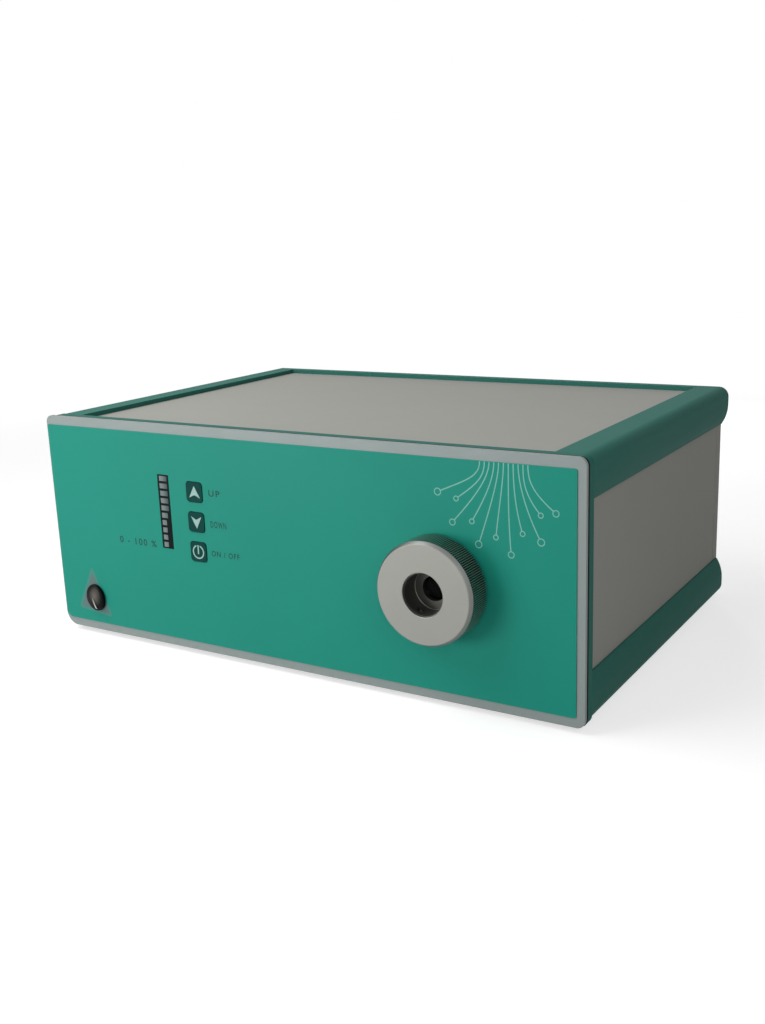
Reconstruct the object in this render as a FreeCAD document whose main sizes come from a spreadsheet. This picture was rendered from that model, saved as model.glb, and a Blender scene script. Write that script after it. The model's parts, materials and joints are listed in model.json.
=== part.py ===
import FreeCAD, Part
import math
import operator
import os

import Sketcher

# Fiber optic illuminator: a bench light source with a knurled light guide port on its front.
# Units are millimetres. +X is the right-hand side seen from the front, the front looks towards -Y
# and +Z is up. The origin lies on the table, under the middle of the instrument's bounding box.
# Depths are counted backwards from the front face of the front plate.

doc = FreeCAD.newDocument("FiberOpticIlluminator")
sheet = doc.addObject("Spreadsheet::Sheet", "Sizes")
sub_parts = []

OPERATORS = {"+": operator.add, "-": operator.sub, "*": operator.mul, "/": operator.truediv}


class Size:
    """A number together with the spreadsheet formula that gives it."""

    def __init__(self, value, formula):
        self.value = value
        self.formula = formula

    def __add__(self, other):
        return combined(self, "+", other)

    def __radd__(self, other):
        return combined(other, "+", self)

    def __sub__(self, other):
        return combined(self, "-", other)

    def __rsub__(self, other):
        return combined(other, "-", self)

    def __mul__(self, other):
        return combined(self, "*", other)

    def __rmul__(self, other):
        return combined(other, "*", self)

    def __truediv__(self, other):
        return combined(self, "/", other)

    def __neg__(self):
        return combined(0, "-", self)


def as_size(number):
    return number if isinstance(number, Size) else Size(float(number), f"({float(number)!r})")


def combined(left, sign, right):
    left, right = as_size(left), as_size(right)
    return Size(OPERATORS[sign](left.value, right.value), f"({left.formula} {sign} {right.formula})")


def driving(alias, number):
    """Writes one driving dimension to the spreadsheet and returns it as a Size."""
    driving.row += 1
    sheet.set(f"A{driving.row}", alias)
    sheet.set(f"B{driving.row}", str(number))
    sheet.setAlias(f"B{driving.row}", alias)
    return Size(float(number), f"Sizes.{alias}")


driving.row = 0

# ---- front plate, its overlay and the frame behind it
plateWide = driving("plateWide", 319)
plateTall = driving("plateTall", 122)
plateThick = driving("plateThick", 2)
plateRound = driving("plateRound", 4)
plateRoundLow = driving("plateRoundLow", 8)
plateStand = driving("plateStand", 3)
foilThick = driving("foilThick", 0.4)
foilEdgeLeft = driving("foilEdgeLeft", 0.8)
foilEdgeRight = driving("foilEdgeRight", 4)
foilEdgeTop = driving("foilEdgeTop", 5)
foilEdgeBottom = driving("foilEdgeBottom", 4.6)
foilRound = driving("foilRound", 1.2)
foilRoundLow = driving("foilRoundLow", 4)
frameReveal = driving("frameReveal", 0.4)
frameDeep = driving("frameDeep", 7.5)
frameBand = driving("frameBand", 9)
frameRound = driving("frameRound", 4)
neckDeep = driving("neckDeep", 2)
neckInset = driving("neckInset", 2)
frameInnerRound = driving("frameInnerRound", 10)

# ---- case: four extruded rails with panels in their grooves
caseDeep = driving("caseDeep", 214)
railStand = driving("railStand", 2)
railWide = driving("railWide", 17.7)
railTall = driving("railTall", 21.3)
railRoundTop = driving("railRoundTop", 5.5)
railRoundBottom = driving("railRoundBottom", 6)
railBulge = driving("railBulge", 3.4)
railBulgeFrom = driving("railBulgeFrom", 10)
railLip = driving("railLip", 0.9)
railInnerLip = driving("railInnerLip", 1.95)
railBossWide = driving("railBossWide", 13)
railBossTall = driving("railBossTall", 13.5)
grooveWide = driving("grooveWide", 1.6)
grooveDeep = driving("grooveDeep", 4)
panelThick = driving("panelThick", 1.5)
panelSink = driving("panelSink", 2.5)
screwInset = driving("screwInset", 9.6)
screwHole = driving("screwHole", 2)
screwShank = driving("screwShank", 1.95)
panHeadRadius = driving("panHeadRadius", 3.6)
panHeadTall = driving("panHeadTall", 2.2)
shortScrew = driving("shortScrew", 6)
longScrew = driving("longScrew", 12)
csHeadRadius = driving("csHeadRadius", 3.8)
csHeadTall = driving("csHeadTall", 1.9)
rearBarDeep = driving("rearBarDeep", 6)
rearBarTall = driving("rearBarTall", 12)
barScrewX = driving("barScrewX", 60)
barScrewInset = driving("barScrewInset", 8.2)
rearPlateThick = driving("rearPlateThick", 2)
rearPlateRound = driving("rearPlateRound", 6)
rearReach = driving("rearReach", 221)
slip = driving("slip", 0.2)

# ---- light guide port
guideX = driving("guideX", 88.5)
guideZ = driving("guideZ", 60)
guideReach = driving("guideReach", 16.7)
collarRadius = driving("collarRadius", 24.8)
collarChamferFace = driving("collarChamferFace", 1.2)
collarChamferLong = driving("collarChamferLong", 1.8)
collarLip = driving("collarLip", 1)
collarGap = driving("collarGap", 0.5)
barrelRadius = driving("barrelRadius", 15.95)
runningFit = driving("runningFit", 0.05)
boreRadius = driving("boreRadius", 10)
boreLong = driving("boreLong", 10)
apertureRadius = driving("apertureRadius", 6)
apertureWall = driving("apertureWall", 2.5)
flangeRadius = driving("flangeRadius", 24)
flangeThick = driving("flangeThick", 4)
tubeRadius = driving("tubeRadius", 13.95)
pinRadius = driving("pinRadius", 2)
pinDepth = driving("pinDepth", 5.6)
pinRest = driving("pinRest", 10.3)
pinOuter = driving("pinOuter", 16.9)
camRadius = driving("camRadius", 15.55)
camOffset = driving("camOffset", 1.6)
camWide = driving("camWide", 4.8)

# ---- controls, as distances from the plate's left and lower edges
keySide = driving("keySide", 10.5)
keyRound = driving("keyRound", 1.8)
keyFromLeft = driving("keyFromLeft", 104.4)
keyLowest = driving("keyLowest", 55.6)
keyPitch = driving("keyPitch", 16.05)
keyProud = driving("keyProud", 0.4)
keyGap = driving("keyGap", 0.3)
keyFlange = driving("keyFlange", 0.6)
keyPocketDeep = driving("keyPocketDeep", 1.3)
stemRadius = driving("stemRadius", 1.7)
stemHole = driving("stemHole", 2.2)
barFromLeft = driving("barFromLeft", 83.3)
barWide = driving("barWide", 7.3)
barTall = driving("barTall", 40)
barLowest = driving("barLowest", 55)
segmentCount = 10
segmentWide = driving("segmentWide", 5.2)
segmentNarrow = driving("segmentNarrow", 3)
segmentTall = driving("segmentTall", 2.7)
selectorFromLeft = driving("selectorFromLeft", 26.2)
selectorUp = driving("selectorUp", 19.5)
selectorWide = driving("selectorWide", 12.8)
selectorLong = driving("selectorLong", 15.4)
selectorTall = driving("selectorTall", 3)
selectorDome = driving("selectorDome", 20)
selectorGap = driving("selectorGap", 0.4)
selectorCrown = driving("selectorCrown", 0.7)
selectorShaft = driving("selectorShaft", 2)

# ---- cooling and power
sinkWide = driving("sinkWide", 70)
sinkTall = driving("sinkTall", 84)
sinkFrom = driving("sinkFrom", 54)
sinkBase = driving("sinkBase", 8)
sinkFinLong = driving("sinkFinLong", 82)
sinkFinThick = driving("sinkFinThick", 1.8)
sinkScrewZ = driving("sinkScrewZ", 32)
bracketDeep = driving("bracketDeep", 12)
bracketThick = driving("bracketThick", 2)
fanSide = driving("fanSide", 80)
fanDeep = driving("fanDeep", 25)
fanBore = driving("fanBore", 38)
fanHoleSpacing = driving("fanHoleSpacing", 71.5)
inletX = driving("inletX", -108)
inletZ = driving("inletZ", 50)
rockerZ = driving("rockerZ", 99)
boardThick = driving("boardThick", 1.6)
boardStand = driving("boardStand", 7)

frontFace = (guideReach - rearReach) / 2
plateLeft = -plateWide / 2
caseHalf = plateWide / 2 - frameReveal
railTop = plateStand + plateTall - frameReveal
caseTall = railTop - railStand
frameBack = plateThick + frameDeep
railLong = caseDeep - frameBack
sideSink = railBulge + railLip
floorTop = railStand + panelSink + panelThick
guidePoint = (guideX, guideZ)


def depth(distance):
    """Y of a plane that lies this far behind the front plate's front face."""
    return frontFace + distance


# ---- building blocks

def place(item, point):
    for axis, number in zip("xyz", point):
        item.setExpression(f"Placement.Base.{axis}", as_size(number).formula)


def block(name, low, span):
    item = doc.addObject("Part::Box", name)
    for side, number in zip(("Length", "Width", "Height"), span):
        item.setExpression(side, as_size(number).formula)
    place(item, low)
    return item


ALONG = {
    "x": FreeCAD.Rotation(FreeCAD.Vector(0, 1, 0), 90),
    "y": FreeCAD.Rotation(FreeCAD.Vector(1, 0, 0), -90),
    "z": FreeCAD.Rotation(),
}


def rod(name, start, radius, length, along="y"):
    """A cylinder from start, along an axis's name or a rotation of +Z."""
    item = doc.addObject("Part::Cylinder", name)
    item.Placement.Rotation = ALONG[along] if isinstance(along, str) else along
    item.setExpression("Radius", as_size(radius).formula)
    item.setExpression("Height", as_size(length).formula)
    place(item, start)
    return item


def cone(name, start, radius, far_radius, length, along="y"):
    item = doc.addObject("Part::Cone", name)
    item.Placement.Rotation = ALONG[along]
    item.setExpression("Radius1", as_size(radius).formula)
    item.setExpression("Radius2", as_size(far_radius).formula)
    item.setExpression("Height", as_size(length).formula)
    place(item, start)
    return item


def ring(name, centre, radius, wire):
    """A torus about Y."""
    item = doc.addObject("Part::Torus", name)
    item.Placement.Rotation = ALONG["y"]
    item.setExpression("Radius1", as_size(radius).formula)
    item.setExpression("Radius2", as_size(wire).formula)
    place(item, centre)
    return item


def fused(name, pieces):
    item = doc.addObject("Part::MultiFuse", name)
    item.Shapes = pieces
    return item


def common(name, pieces):
    item = doc.addObject("Part::MultiCommon", name)
    item.Shapes = pieces
    return item


def grouped(name, pieces):
    item = doc.addObject("Part::Compound", name)
    item.Links = pieces
    return item


def without(name, base, tools):
    item = doc.addObject("Part::Cut", name)
    item.Base = base
    item.Tool = tools[0] if len(tools) == 1 else fused(name + "_tools", tools)
    return item


def sub_part(label, item):
    item.Label = label
    sub_parts.append(item)
    return item


short_screws = []
long_screws = []


def pan_screw(name, seat, along="y", flip=1, long=False):
    """A pan-head screw tightened against seat; flip is -1 where its shank runs down the axis."""
    axis = "xyz".index(along)
    shank_long = longScrew if long else shortScrew
    head_low, shank_low = list(seat), list(seat)
    if flip > 0:
        head_low[axis] = head_low[axis] - panHeadTall
    else:
        shank_low[axis] = shank_low[axis] - shank_long
    head = rod(name + "_head", head_low, panHeadRadius, panHeadTall, along)
    shank = rod(name + "_shank", shank_low, screwShank, shank_long, along)
    (long_screws if long else short_screws).append(fused(name, [head, shank]))


def countersunk_screw(name, point, long):
    """A countersunk screw flush with the front plate's face at a point (x, z)."""
    head = cone(name + "_head", (point[0], depth(0), point[1]), csHeadRadius, screwShank, csHeadTall)
    shank = rod(name + "_shank", (point[0], depth(csHeadTall), point[1]), screwShank, long)
    return fused(name, [head, shank])


# ---- bodies with sketches

def new_body(name, point):
    body = doc.addObject("PartDesign::Body", name)
    place(body, point)
    return body


def origin_feature(body, role):
    return next(item for item in body.Origin.OriginFeatures if item.Role == role)


def new_sketch(body, name, role):
    sketch = body.newObject("Sketcher::SketchObject", name)
    sketch.AttachmentSupport = (origin_feature(body, role), [""])
    sketch.MapMode = "FlatFace"
    return sketch


def pin_point(sketch, edge, end, point):
    """Holds a point of the sketch at the given distances from the sketch's axes."""
    for kind, axis, number in (("DistanceX", -2, point[0]), ("DistanceY", -1, point[1])):
        size = as_size(number)
        if abs(size.value) < 1e-9:
            sketch.addConstraint(Sketcher.Constraint("PointOnObject", edge, end, axis))
        else:
            index = sketch.addConstraint(Sketcher.Constraint(kind, -1, 1, edge, end, size.value))
            sketch.setExpression(f"Constraints[{index}]", size.formula)


def flat(point):
    return FreeCAD.Vector(as_size(point[0]).value, as_size(point[1]).value, 0)


def arc_between(start, end, radius, bend):
    """The short arc between two points; bend is 1 where it lies left of the chord, else -1."""
    chord = end - start
    middle = (start + end) * 0.5
    aside = FreeCAD.Vector(-chord.y, chord.x, 0).normalize()
    rise = radius - math.sqrt(radius ** 2 - (chord.Length / 2) ** 2)
    return Part.Arc(start, middle + aside * (rise * bend), end)


def draw_outline(sketch, corners):
    """A closed outline. A corner (x, y) ends a straight edge and (x, y, radius, bend) ends an arc."""
    ends = []
    for index, corner in enumerate(corners):
        start, end = flat(corners[index - 1]), flat(corner)
        if len(corner) == 2:
            edge = sketch.addGeometry(Part.LineSegment(start, end), False)
        else:
            radius = as_size(corner[2])
            edge = sketch.addGeometry(arc_between(start, end, radius.value, corner[3]), False)
            constraint = sketch.addConstraint(Sketcher.Constraint("Radius", edge, radius.value))
            sketch.setExpression(f"Constraints[{constraint}]", radius.formula)
        forward = sketch.getPoint(edge, 1).distanceToPoint(start) < 1e-6
        ends.append((edge, 1 if forward else 2, 2 if forward else 1))
    for index, corner in enumerate(corners):
        edge, _, last = ends[index]
        following, first, _ = ends[(index + 1) % len(ends)]
        sketch.addConstraint(Sketcher.Constraint("Coincident", edge, last, following, first))
        pin_point(sketch, edge, last, corner)


def draw_circle(sketch, centre, radius):
    radius = as_size(radius)
    edge = sketch.addGeometry(Part.Circle(flat(centre), FreeCAD.Vector(0, 0, 1), radius.value), False)
    constraint = sketch.addConstraint(Sketcher.Constraint("Radius", edge, radius.value))
    sketch.setExpression(f"Constraints[{constraint}]", radius.formula)
    pin_point(sketch, edge, 3, centre)


def draw_box(sketch, low, high):
    draw_outline(sketch, [low, (high[0], low[1]), high, (low[0], high[1])])


def pad(body, sketch, length):
    """Pads a sketch on the XZ plane backwards, towards +Y."""
    feature = body.newObject("PartDesign::Pad", sketch.Name + "_pad")
    feature.Profile = sketch
    feature.Reversed = True
    feature.setExpression("Length", as_size(length).formula)
    return feature


def pocket(body, sketch, length=None):
    """Cuts a sketch on the XZ plane backwards from the front, to a depth or right through."""
    feature = body.newObject("PartDesign::Pocket", sketch.Name + "_pocket")
    feature.Profile = sketch
    if length is None:
        feature.Type = "ThroughAll"
    else:
        feature.setExpression("Length", as_size(length).formula)
    return feature


def round_corners(body, feature, radius, near):
    """Fillets the edges along Y that lie within reach of one of the points (x, z)."""
    doc.recompute()
    names = []
    for index, edge in enumerate(feature.Shape.Edges):
        direction = edge.lastVertex().Point - edge.firstVertex().Point
        middle = edge.CenterOfMass
        along_y = abs(direction.y) > 0.99 * edge.Length
        if along_y and any(math.hypot(middle.x - x, middle.z - z) < 0.01 for x, z in near):
            names.append(f"Edge{index + 1}")
    fillet = body.newObject("PartDesign::Fillet", f"{body.Name}_fillet_{index}")
    fillet.Base = (feature, names)
    fillet.setExpression("Radius", as_size(radius).formula)
    return fillet


def box_corners(low, high):
    values = [as_size(number).value for number in (*low, *high)]
    return [(x, z) for x in (values[0], values[2]) for z in (values[1], values[3])]


def rounded_plate(name, point, wide, tall, thick, radius, low_left=None):
    """A flat plate facing the front, with rounded corners; low_left is its lower left one's radius."""
    body = new_body(name, point)
    sketch = new_sketch(body, name + "_outline", "XZ_Plane")
    draw_box(sketch, (0, 0), (wide, tall))
    lower_left, *others = box_corners((0, 0), (wide, tall))
    rounded = round_corners(body, pad(body, sketch, thick), radius, others)
    round_corners(body, rounded, low_left or radius, [lower_left])
    return body


def turned(name, profile, front, centre=guidePoint):
    """A turned piece about an axis along Y: profile is (radius, distance behind front)."""
    body = new_body(name, (centre[0], depth(front), centre[1]))
    sketch = new_sketch(body, name + "_profile", "XY_Plane")
    draw_outline(sketch, profile)
    feature = body.newObject("PartDesign::Revolution", name + "_turn")
    feature.Profile = sketch
    feature.ReferenceAxis = (origin_feature(body, "Y_Axis"), [""])
    feature.Angle = 360
    return body


# ---- front plate, overlay and frame

def key_heights():
    """Centres of the power, down and up keys above the plate's lower edge."""
    return [keyLowest + keyPitch * step for step in range(3)]


def square(centre, side):
    half = side / 2
    return (centre[0] - half, centre[1] - half), (centre[0] + half, centre[1] + half)


barPoint = (barFromLeft, barLowest + barTall / 2)
selectorPoint = (selectorFromLeft, selectorUp)
portPoint = (guideX - plateLeft, guideZ - plateStand)


def corner_screw_points():
    """X and Z of the rails' four screw channels."""
    across = caseHalf - screwInset
    return [(side * across, height) for side in (-1, 1)
            for height in (railStand + screwInset, railTop - screwInset)]


socketScrewCircle = driving("socketScrewCircle", 20)
socketScrewAngles = (90, 210, 330)


def circle_points(centre, radius, angles):
    return [(centre[0] + radius * math.cos(math.radians(angle)),
             centre[1] + radius * math.sin(math.radians(angle))) for angle in angles]


def socket_screw_points():
    return circle_points(guidePoint, socketScrewCircle, socketScrewAngles)


def make_front_plate():
    body = rounded_plate("plate_blank", (plateLeft, frontFace, plateStand),
                         plateWide, plateTall, plateThick, plateRound, plateRoundLow)
    holes = new_sketch(body, "plate_holes", "XZ_Plane")
    draw_circle(holes, portPoint, barrelRadius + slip)
    draw_circle(holes, selectorPoint, 3.5)
    wide, tall = barWide / 2 + slip, barTall / 2 + slip
    draw_box(holes, (barPoint[0] - wide, barPoint[1] - tall), (barPoint[0] + wide, barPoint[1] + tall))
    for height in key_heights():
        draw_circle(holes, (keyFromLeft, height), stemHole)
    pocket(body, holes)
    seats = new_sketch(body, "plate_key_seats", "XZ_Plane")
    for height in key_heights():
        draw_box(seats, *square((keyFromLeft, height), keySide + 2 * keyFlange + 4 * keyGap))
    pocket(body, seats, keyPocketDeep)
    sinks = []
    for index, (x, z) in enumerate(corner_screw_points() + socket_screw_points()):
        start = (x, depth(0), z)
        sinks.append(cone(f"plate_sink_{index}", start, csHeadRadius + slip, screwHole, csHeadTall + slip))
    sub_part("front_plate", without("front_plate", body, sinks))


def make_front_foil():
    left, low = foilEdgeLeft, foilEdgeBottom
    body = rounded_plate("front_foil", (plateLeft + left, depth(-foilThick), plateStand + low),
                         plateWide - left - foilEdgeRight, plateTall - low - foilEdgeTop,
                         foilThick, foilRound, foilRoundLow)
    windows = new_sketch(body, "foil_windows", "XZ_Plane")
    draw_circle(windows, (portPoint[0] - left, portPoint[1] - low), barrelRadius + 2 * slip)
    draw_circle(windows, (selectorPoint[0] - left, selectorPoint[1] - low), 5.8)
    wide, tall = barWide / 2 + slip, barTall / 2 + slip
    centre = (barPoint[0] - left, barPoint[1] - low)
    draw_box(windows, (centre[0] - wide, centre[1] - tall), (centre[0] + wide, centre[1] + tall))
    corners = []
    for height in key_heights():
        window = square((keyFromLeft - left, height - low), keySide + 2 * keyGap)
        draw_box(windows, *window)
        corners += box_corners(*window)
    round_corners(body, pocket(body, windows), keyRound + keyGap, corners)
    sub_part("front_foil", body)


def make_front_frame():
    """Painted frame; its narrower neck leaves a dark gap behind the front plate's edge."""
    wide, tall = 2 * caseHalf, caseTall
    neck = rounded_plate("frame_neck", (-caseHalf + neckInset, depth(plateThick), railStand + neckInset),
                         wide - 2 * neckInset, tall - 2 * neckInset, neckDeep,
                         frameRound - neckInset, plateRoundLow)
    band = rounded_plate("frame_band", (-caseHalf, depth(plateThick + neckDeep), railStand),
                         wide, tall, frameDeep - neckDeep, frameRound, plateRoundLow + 1)
    gap = rounded_plate("frame_gap", (-caseHalf + frameBand, depth(plateThick), railStand + frameBand),
                        wide - 2 * frameBand, tall - 2 * frameBand, frameDeep, frameInnerRound)
    holes = [rod(f"frame_hole_{index}", (x, depth(plateThick), z), screwHole, frameDeep)
             for index, (x, z) in enumerate(corner_screw_points())]
    sub_part("front_frame", without("front_frame", fused("frame_solid", [neck, band]), [gap] + holes))


def make_front_screws():
    corner_long, port_long = 16, flangeThick
    corner = [countersunk_screw(f"corner_screw_{index}", point, corner_long)
              for index, point in enumerate(corner_screw_points())]
    sub_part("corner_screws", grouped("corner_screws", corner))
    port = [countersunk_screw(f"port_screw_{index}", point, port_long)
            for index, point in enumerate(socket_screw_points())]
    sub_part("port_screws", grouped("port_screws", port))


# ---- case

def rail_outline(flip_x, flip_z, rounding):
    """The rail's section. Across and up are counted from its outer faces, then mirrored as asked."""
    slot_in = railBulge + railLip
    slot_out = slot_in + grooveWide
    shelf = panelSink - 0.05
    ledge = shelf + grooveWide
    bulge_radius = ((railTall - railBulgeFrom) * (railTall - railBulgeFrom)
                    + railBulge * railBulge) / (2 * railBulge)
    outline = [
        (railWide, 0),
        (rounding, 0),
        (0, rounding, rounding, 1),
        (0, railBulgeFrom),
        (railBulge, railTall, bulge_radius, 1),
        (slot_in, railTall),
        (slot_in, railTall - grooveDeep),
        (slot_out, railTall - grooveDeep),
        (slot_out, railTall),
        (slot_out + railInnerLip, railTall),
        (slot_out + railInnerLip, railBossTall),
        (railBossWide, railBossTall),
        (railBossWide, ledge + railInnerLip),
        (railWide, ledge + railInnerLip),
        (railWide, ledge),
        (railWide - grooveDeep, ledge),
        (railWide - grooveDeep, shelf),
        (railWide, shelf),
    ]
    # Before mirroring the outline runs clockwise, and each mirroring turns its arcs over.
    turn = 1 if flip_x == flip_z else -1
    corners = []
    for across, up, *arc in outline:
        x = railWide - across if flip_x else across
        z = railTall - up if flip_z else up
        corners.append((x, z, arc[0], arc[1] * turn) if arc else (x, z))
    return corners


def make_rail(label, right, top):
    rounding = railRoundTop if top else railRoundBottom
    left_x = caseHalf - railWide if right else -caseHalf
    low_z = railTop - railTall if top else railStand
    body = new_body(label, (left_x, depth(frameBack), low_z))
    section = new_sketch(body, label + "_section", "XZ_Plane")
    draw_outline(section, rail_outline(right, top, rounding))
    pad(body, section, railLong)
    channel = new_sketch(body, label + "_channel", "XZ_Plane")
    x = railWide - screwInset if right else screwInset
    z = railTall - screwInset if top else screwInset
    draw_circle(channel, (x, z), screwHole)
    pocket(body, channel)
    sub_part(label, body)


def make_rails():
    for top in (True, False):
        for right in (False, True):
            label = f"{'top' if top else 'bottom'}_{'right' if right else 'left'}_rail"
            make_rail(label, right, top)


def make_panels():
    long = caseDeep - rearBarDeep / 2 - frameBack
    flat_half = caseHalf - railWide + grooveDeep - slip
    top = block("top_panel", (-flat_half, depth(frameBack), railTop - panelSink - panelThick),
                (2 * flat_half, long, panelThick))
    sub_part("top_panel", top)
    low = railStand + railTall - grooveDeep + slip
    high = railTop - railTall + grooveDeep - slip
    side_long = caseDeep - rearBarDeep - frameBack
    groove_play = (grooveWide - panelThick) / 2
    outer = caseHalf - sideSink - groove_play
    for label, x in (("left_panel", -outer), ("right_panel", outer - panelThick)):
        sub_part(label, block(label, (x, depth(frameBack), low), (panelThick, side_long, high - low)))
    make_bottom_panel(flat_half, long)


def make_bottom_panel(half, long):
    """Floor with two rows of intake slots under the heat sink and four foot holes."""
    floor = block("floor_sheet", (-half, depth(frameBack), floorTop - panelThick),
                  (2 * half, long, panelThick))
    slot_wide, slot_long, slot_pitch, slot_count = 5, 34, 14, 4
    cuts = []
    for row, back in enumerate((68, 112)):
        for step in range(slot_count):
            x = guideX - slot_pitch * (slot_count - 1) / 2 - slot_wide / 2 + slot_pitch * step
            low = (x, depth(back), floorTop - panelThick - 1)
            cuts.append(block(f"intake_{row}_{step}", low, (slot_wide, slot_long, panelThick + 2)))
    for index, (x, y) in enumerate(foot_points() + bracket_screw_points()):
        start = (x, y, floorTop - panelThick - 1)
        cuts.append(rod(f"floor_hole_{index}", start, screwHole, panelThick + 2, "z"))
    sub_part("bottom_panel", without("bottom_panel", floor, cuts))


def foot_points():
    across, front, rear = 116, 34, 182
    return [(side * across, depth(back)) for side in (-1, 1) for back in (front, rear)]


def make_feet():
    foot_tall = floorTop - panelThick
    foot_low, foot_high, well_radius, well_tall = 8.5, 10, 4.4, 2.6
    feet = []
    for index, (x, y) in enumerate(foot_points()):
        foot = cone(f"foot_{index}", (x, y, 0), foot_low, foot_high, foot_tall, "z")
        well = rod(f"foot_well_{index}", (x, y, -1), well_radius, well_tall + 1, "z")
        hole = rod(f"foot_bore_{index}", (x, y, 0), screwHole, foot_tall, "z")
        feet.append(without(f"foot_cut_{index}", foot, [well, hole]))
        pan_screw(f"foot_screw_{index}", (x, y, well_tall), "z")
    sub_part("rubber_feet", grouped("rubber_feet", feet))


def bar_screw_heights():
    return railStand + barScrewInset, railTop - barScrewInset


def bar_screw_points():
    return [(x, z) for x in (-barScrewX, barScrewX) for z in bar_screw_heights()]


def make_rear_bars():
    """Cross bars between the rails' rear ends; each takes a panel's rear edge in its groove."""
    half = caseHalf - railWide - slip / 2
    play = (grooveWide - panelThick) / 2
    bottom_screw, top_screw = bar_screw_heights()
    bars = (
        ("rear_top_bar", railTop - rearBarTall, railTop - panelSink - panelThick - play, top_screw),
        ("rear_bottom_bar", railStand, floorTop - panelThick - play, bottom_screw),
    )
    for label, low, groove, screw_height in bars:
        start = depth(caseDeep - rearBarDeep)
        bar = block(label + "_blank", (-half, start, low), (2 * half, rearBarDeep, rearBarTall))
        slot = block(label + "_groove", (-half, start, groove), (2 * half, rearBarDeep / 2 + slip, grooveWide))
        holes = [rod(f"{label}_hole_{index}", (x, start, screw_height), screwHole, rearBarDeep)
                 for index, x in enumerate((-barScrewX, barScrewX))]
        sub_part(label, without(label, bar, [slot] + holes))


inletCut = (28.4, 48.4)
rockerCut = (13.8, 20.4)


def make_rear_plate():
    left, low = -(caseHalf - sideSink), railStand + panelSink
    wide, tall = 2 * (caseHalf - sideSink), caseTall - 2 * panelSink
    body = rounded_plate("rear_blank", (left, depth(caseDeep), low), wide, tall,
                         rearPlateThick, rearPlateRound)
    holes = new_sketch(body, "rear_holes", "XZ_Plane")
    for x, z in corner_screw_points() + bar_screw_points() + fan_screw_points():
        draw_circle(holes, (x - left, z - low), screwHole + 0.1)
    draw_circle(holes, (guideX - left, guideZ - low), fanBore)
    for centre, cut in (((inletX, inletZ), inletCut), ((inletX, rockerZ), rockerCut)):
        x, z = centre[0] - left, centre[1] - low
        draw_box(holes, (x - cut[0] / 2, z - cut[1] / 2), (x + cut[0] / 2, z + cut[1] / 2))
    pocket(body, holes)
    flange_low = railStand + railTall + slip
    flange_tall = caseTall - 2 * (railTall + slip)
    flanges = [block(f"rear_flange_{index}", (x, depth(caseDeep - rearBarDeep + slip), flange_low),
                     (panelThick, rearBarDeep, flange_tall))
               for index, x in enumerate((left, caseHalf - sideSink - panelThick))]
    sub_part("rear_plate", fused("rear_plate", [body] + flanges))


def place_rear_screws():
    seat = depth(caseDeep + rearPlateThick)
    for index, (x, z) in enumerate(corner_screw_points()):
        pan_screw(f"rear_corner_screw_{index}", (x, seat, z), flip=-1, long=True)
    for index, (x, z) in enumerate(bar_screw_points()):
        pan_screw(f"rear_bar_screw_{index}", (x, seat, z), flip=-1)


# ---- light guide port

def make_guide_collar():
    """Knurled lock ring; its cam groove is an eccentric cut that pushes the lock pin inwards."""
    long = guideReach - foilThick - collarGap
    inner = barrelRadius + runningFit
    groove_from, groove_to = guideReach - 4.3, guideReach - 2.7
    profile = [
        (boreRadius + 0.4, 0),
        (collarRadius - collarChamferFace, 0),
        (collarRadius, collarChamferLong),
        (collarRadius, long - 0.8),
        (collarRadius - 0.8, long),
        (inner, long),
        (inner, groove_to),
        (inner + 1.9, groove_to),
        (inner + 1.9, groove_from),
        (inner, groove_from),
        (inner, collarLip),
        (boreRadius + 0.4, collarLip),
    ]
    ring_body = turned("collar_blank", profile, -guideReach)
    x, z = circle_points(guidePoint, camOffset, [pinAngle])[0]
    cam = rod("collar_cam", (x, depth(pinDepth - guideReach - camWide / 2), z), camRadius, camWide)
    sub_part("guide_collar", without("guide_collar", ring_body, [cam]))


pinAngle = -114


def make_guide_socket():
    """Fixed barrel with the light guide's bore, the aperture and the flange behind the plate."""
    front = guideReach - collarLip - slip
    back = front + plateThick + flangeThick
    ring_from, ring_to = front - 4.1, front - 2.9
    wall_to = boreLong + apertureWall
    profile = [
        (boreRadius, 0),
        (barrelRadius - 0.3, 0),
        (barrelRadius, 0.3),
        (barrelRadius, ring_from),
        (barrelRadius - 0.85, ring_from),
        (barrelRadius - 0.85, ring_to),
        (barrelRadius, ring_to),
        (barrelRadius, front + plateThick),
        (flangeRadius, front + plateThick),
        (flangeRadius, back),
        (tubeRadius + 0.05, back),
        (tubeRadius + 0.05, wall_to),
        (apertureRadius, wall_to),
        (apertureRadius, boreLong),
        (boreRadius, boreLong),
    ]
    barrel = turned("socket_blank", profile, -front)
    outward = FreeCAD.Rotation(FreeCAD.Vector(0, 0, 1), pin_direction())
    hole = rod("socket_pin_hole", (guideX, depth(pinDepth - guideReach), guideZ),
               pinRadius + runningFit, barrelRadius + 2, outward)
    cuts = [hole]
    for index, (x, z) in enumerate(socket_screw_points()):
        cuts.append(rod(f"socket_hole_{index}", (x, depth(plateThick), z), screwHole, flangeThick))
    sub_part("guide_socket", without("guide_socket", barrel, cuts))


def pin_direction():
    angle = math.radians(pinAngle)
    return FreeCAD.Vector(math.cos(angle), 0, math.sin(angle))


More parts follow.
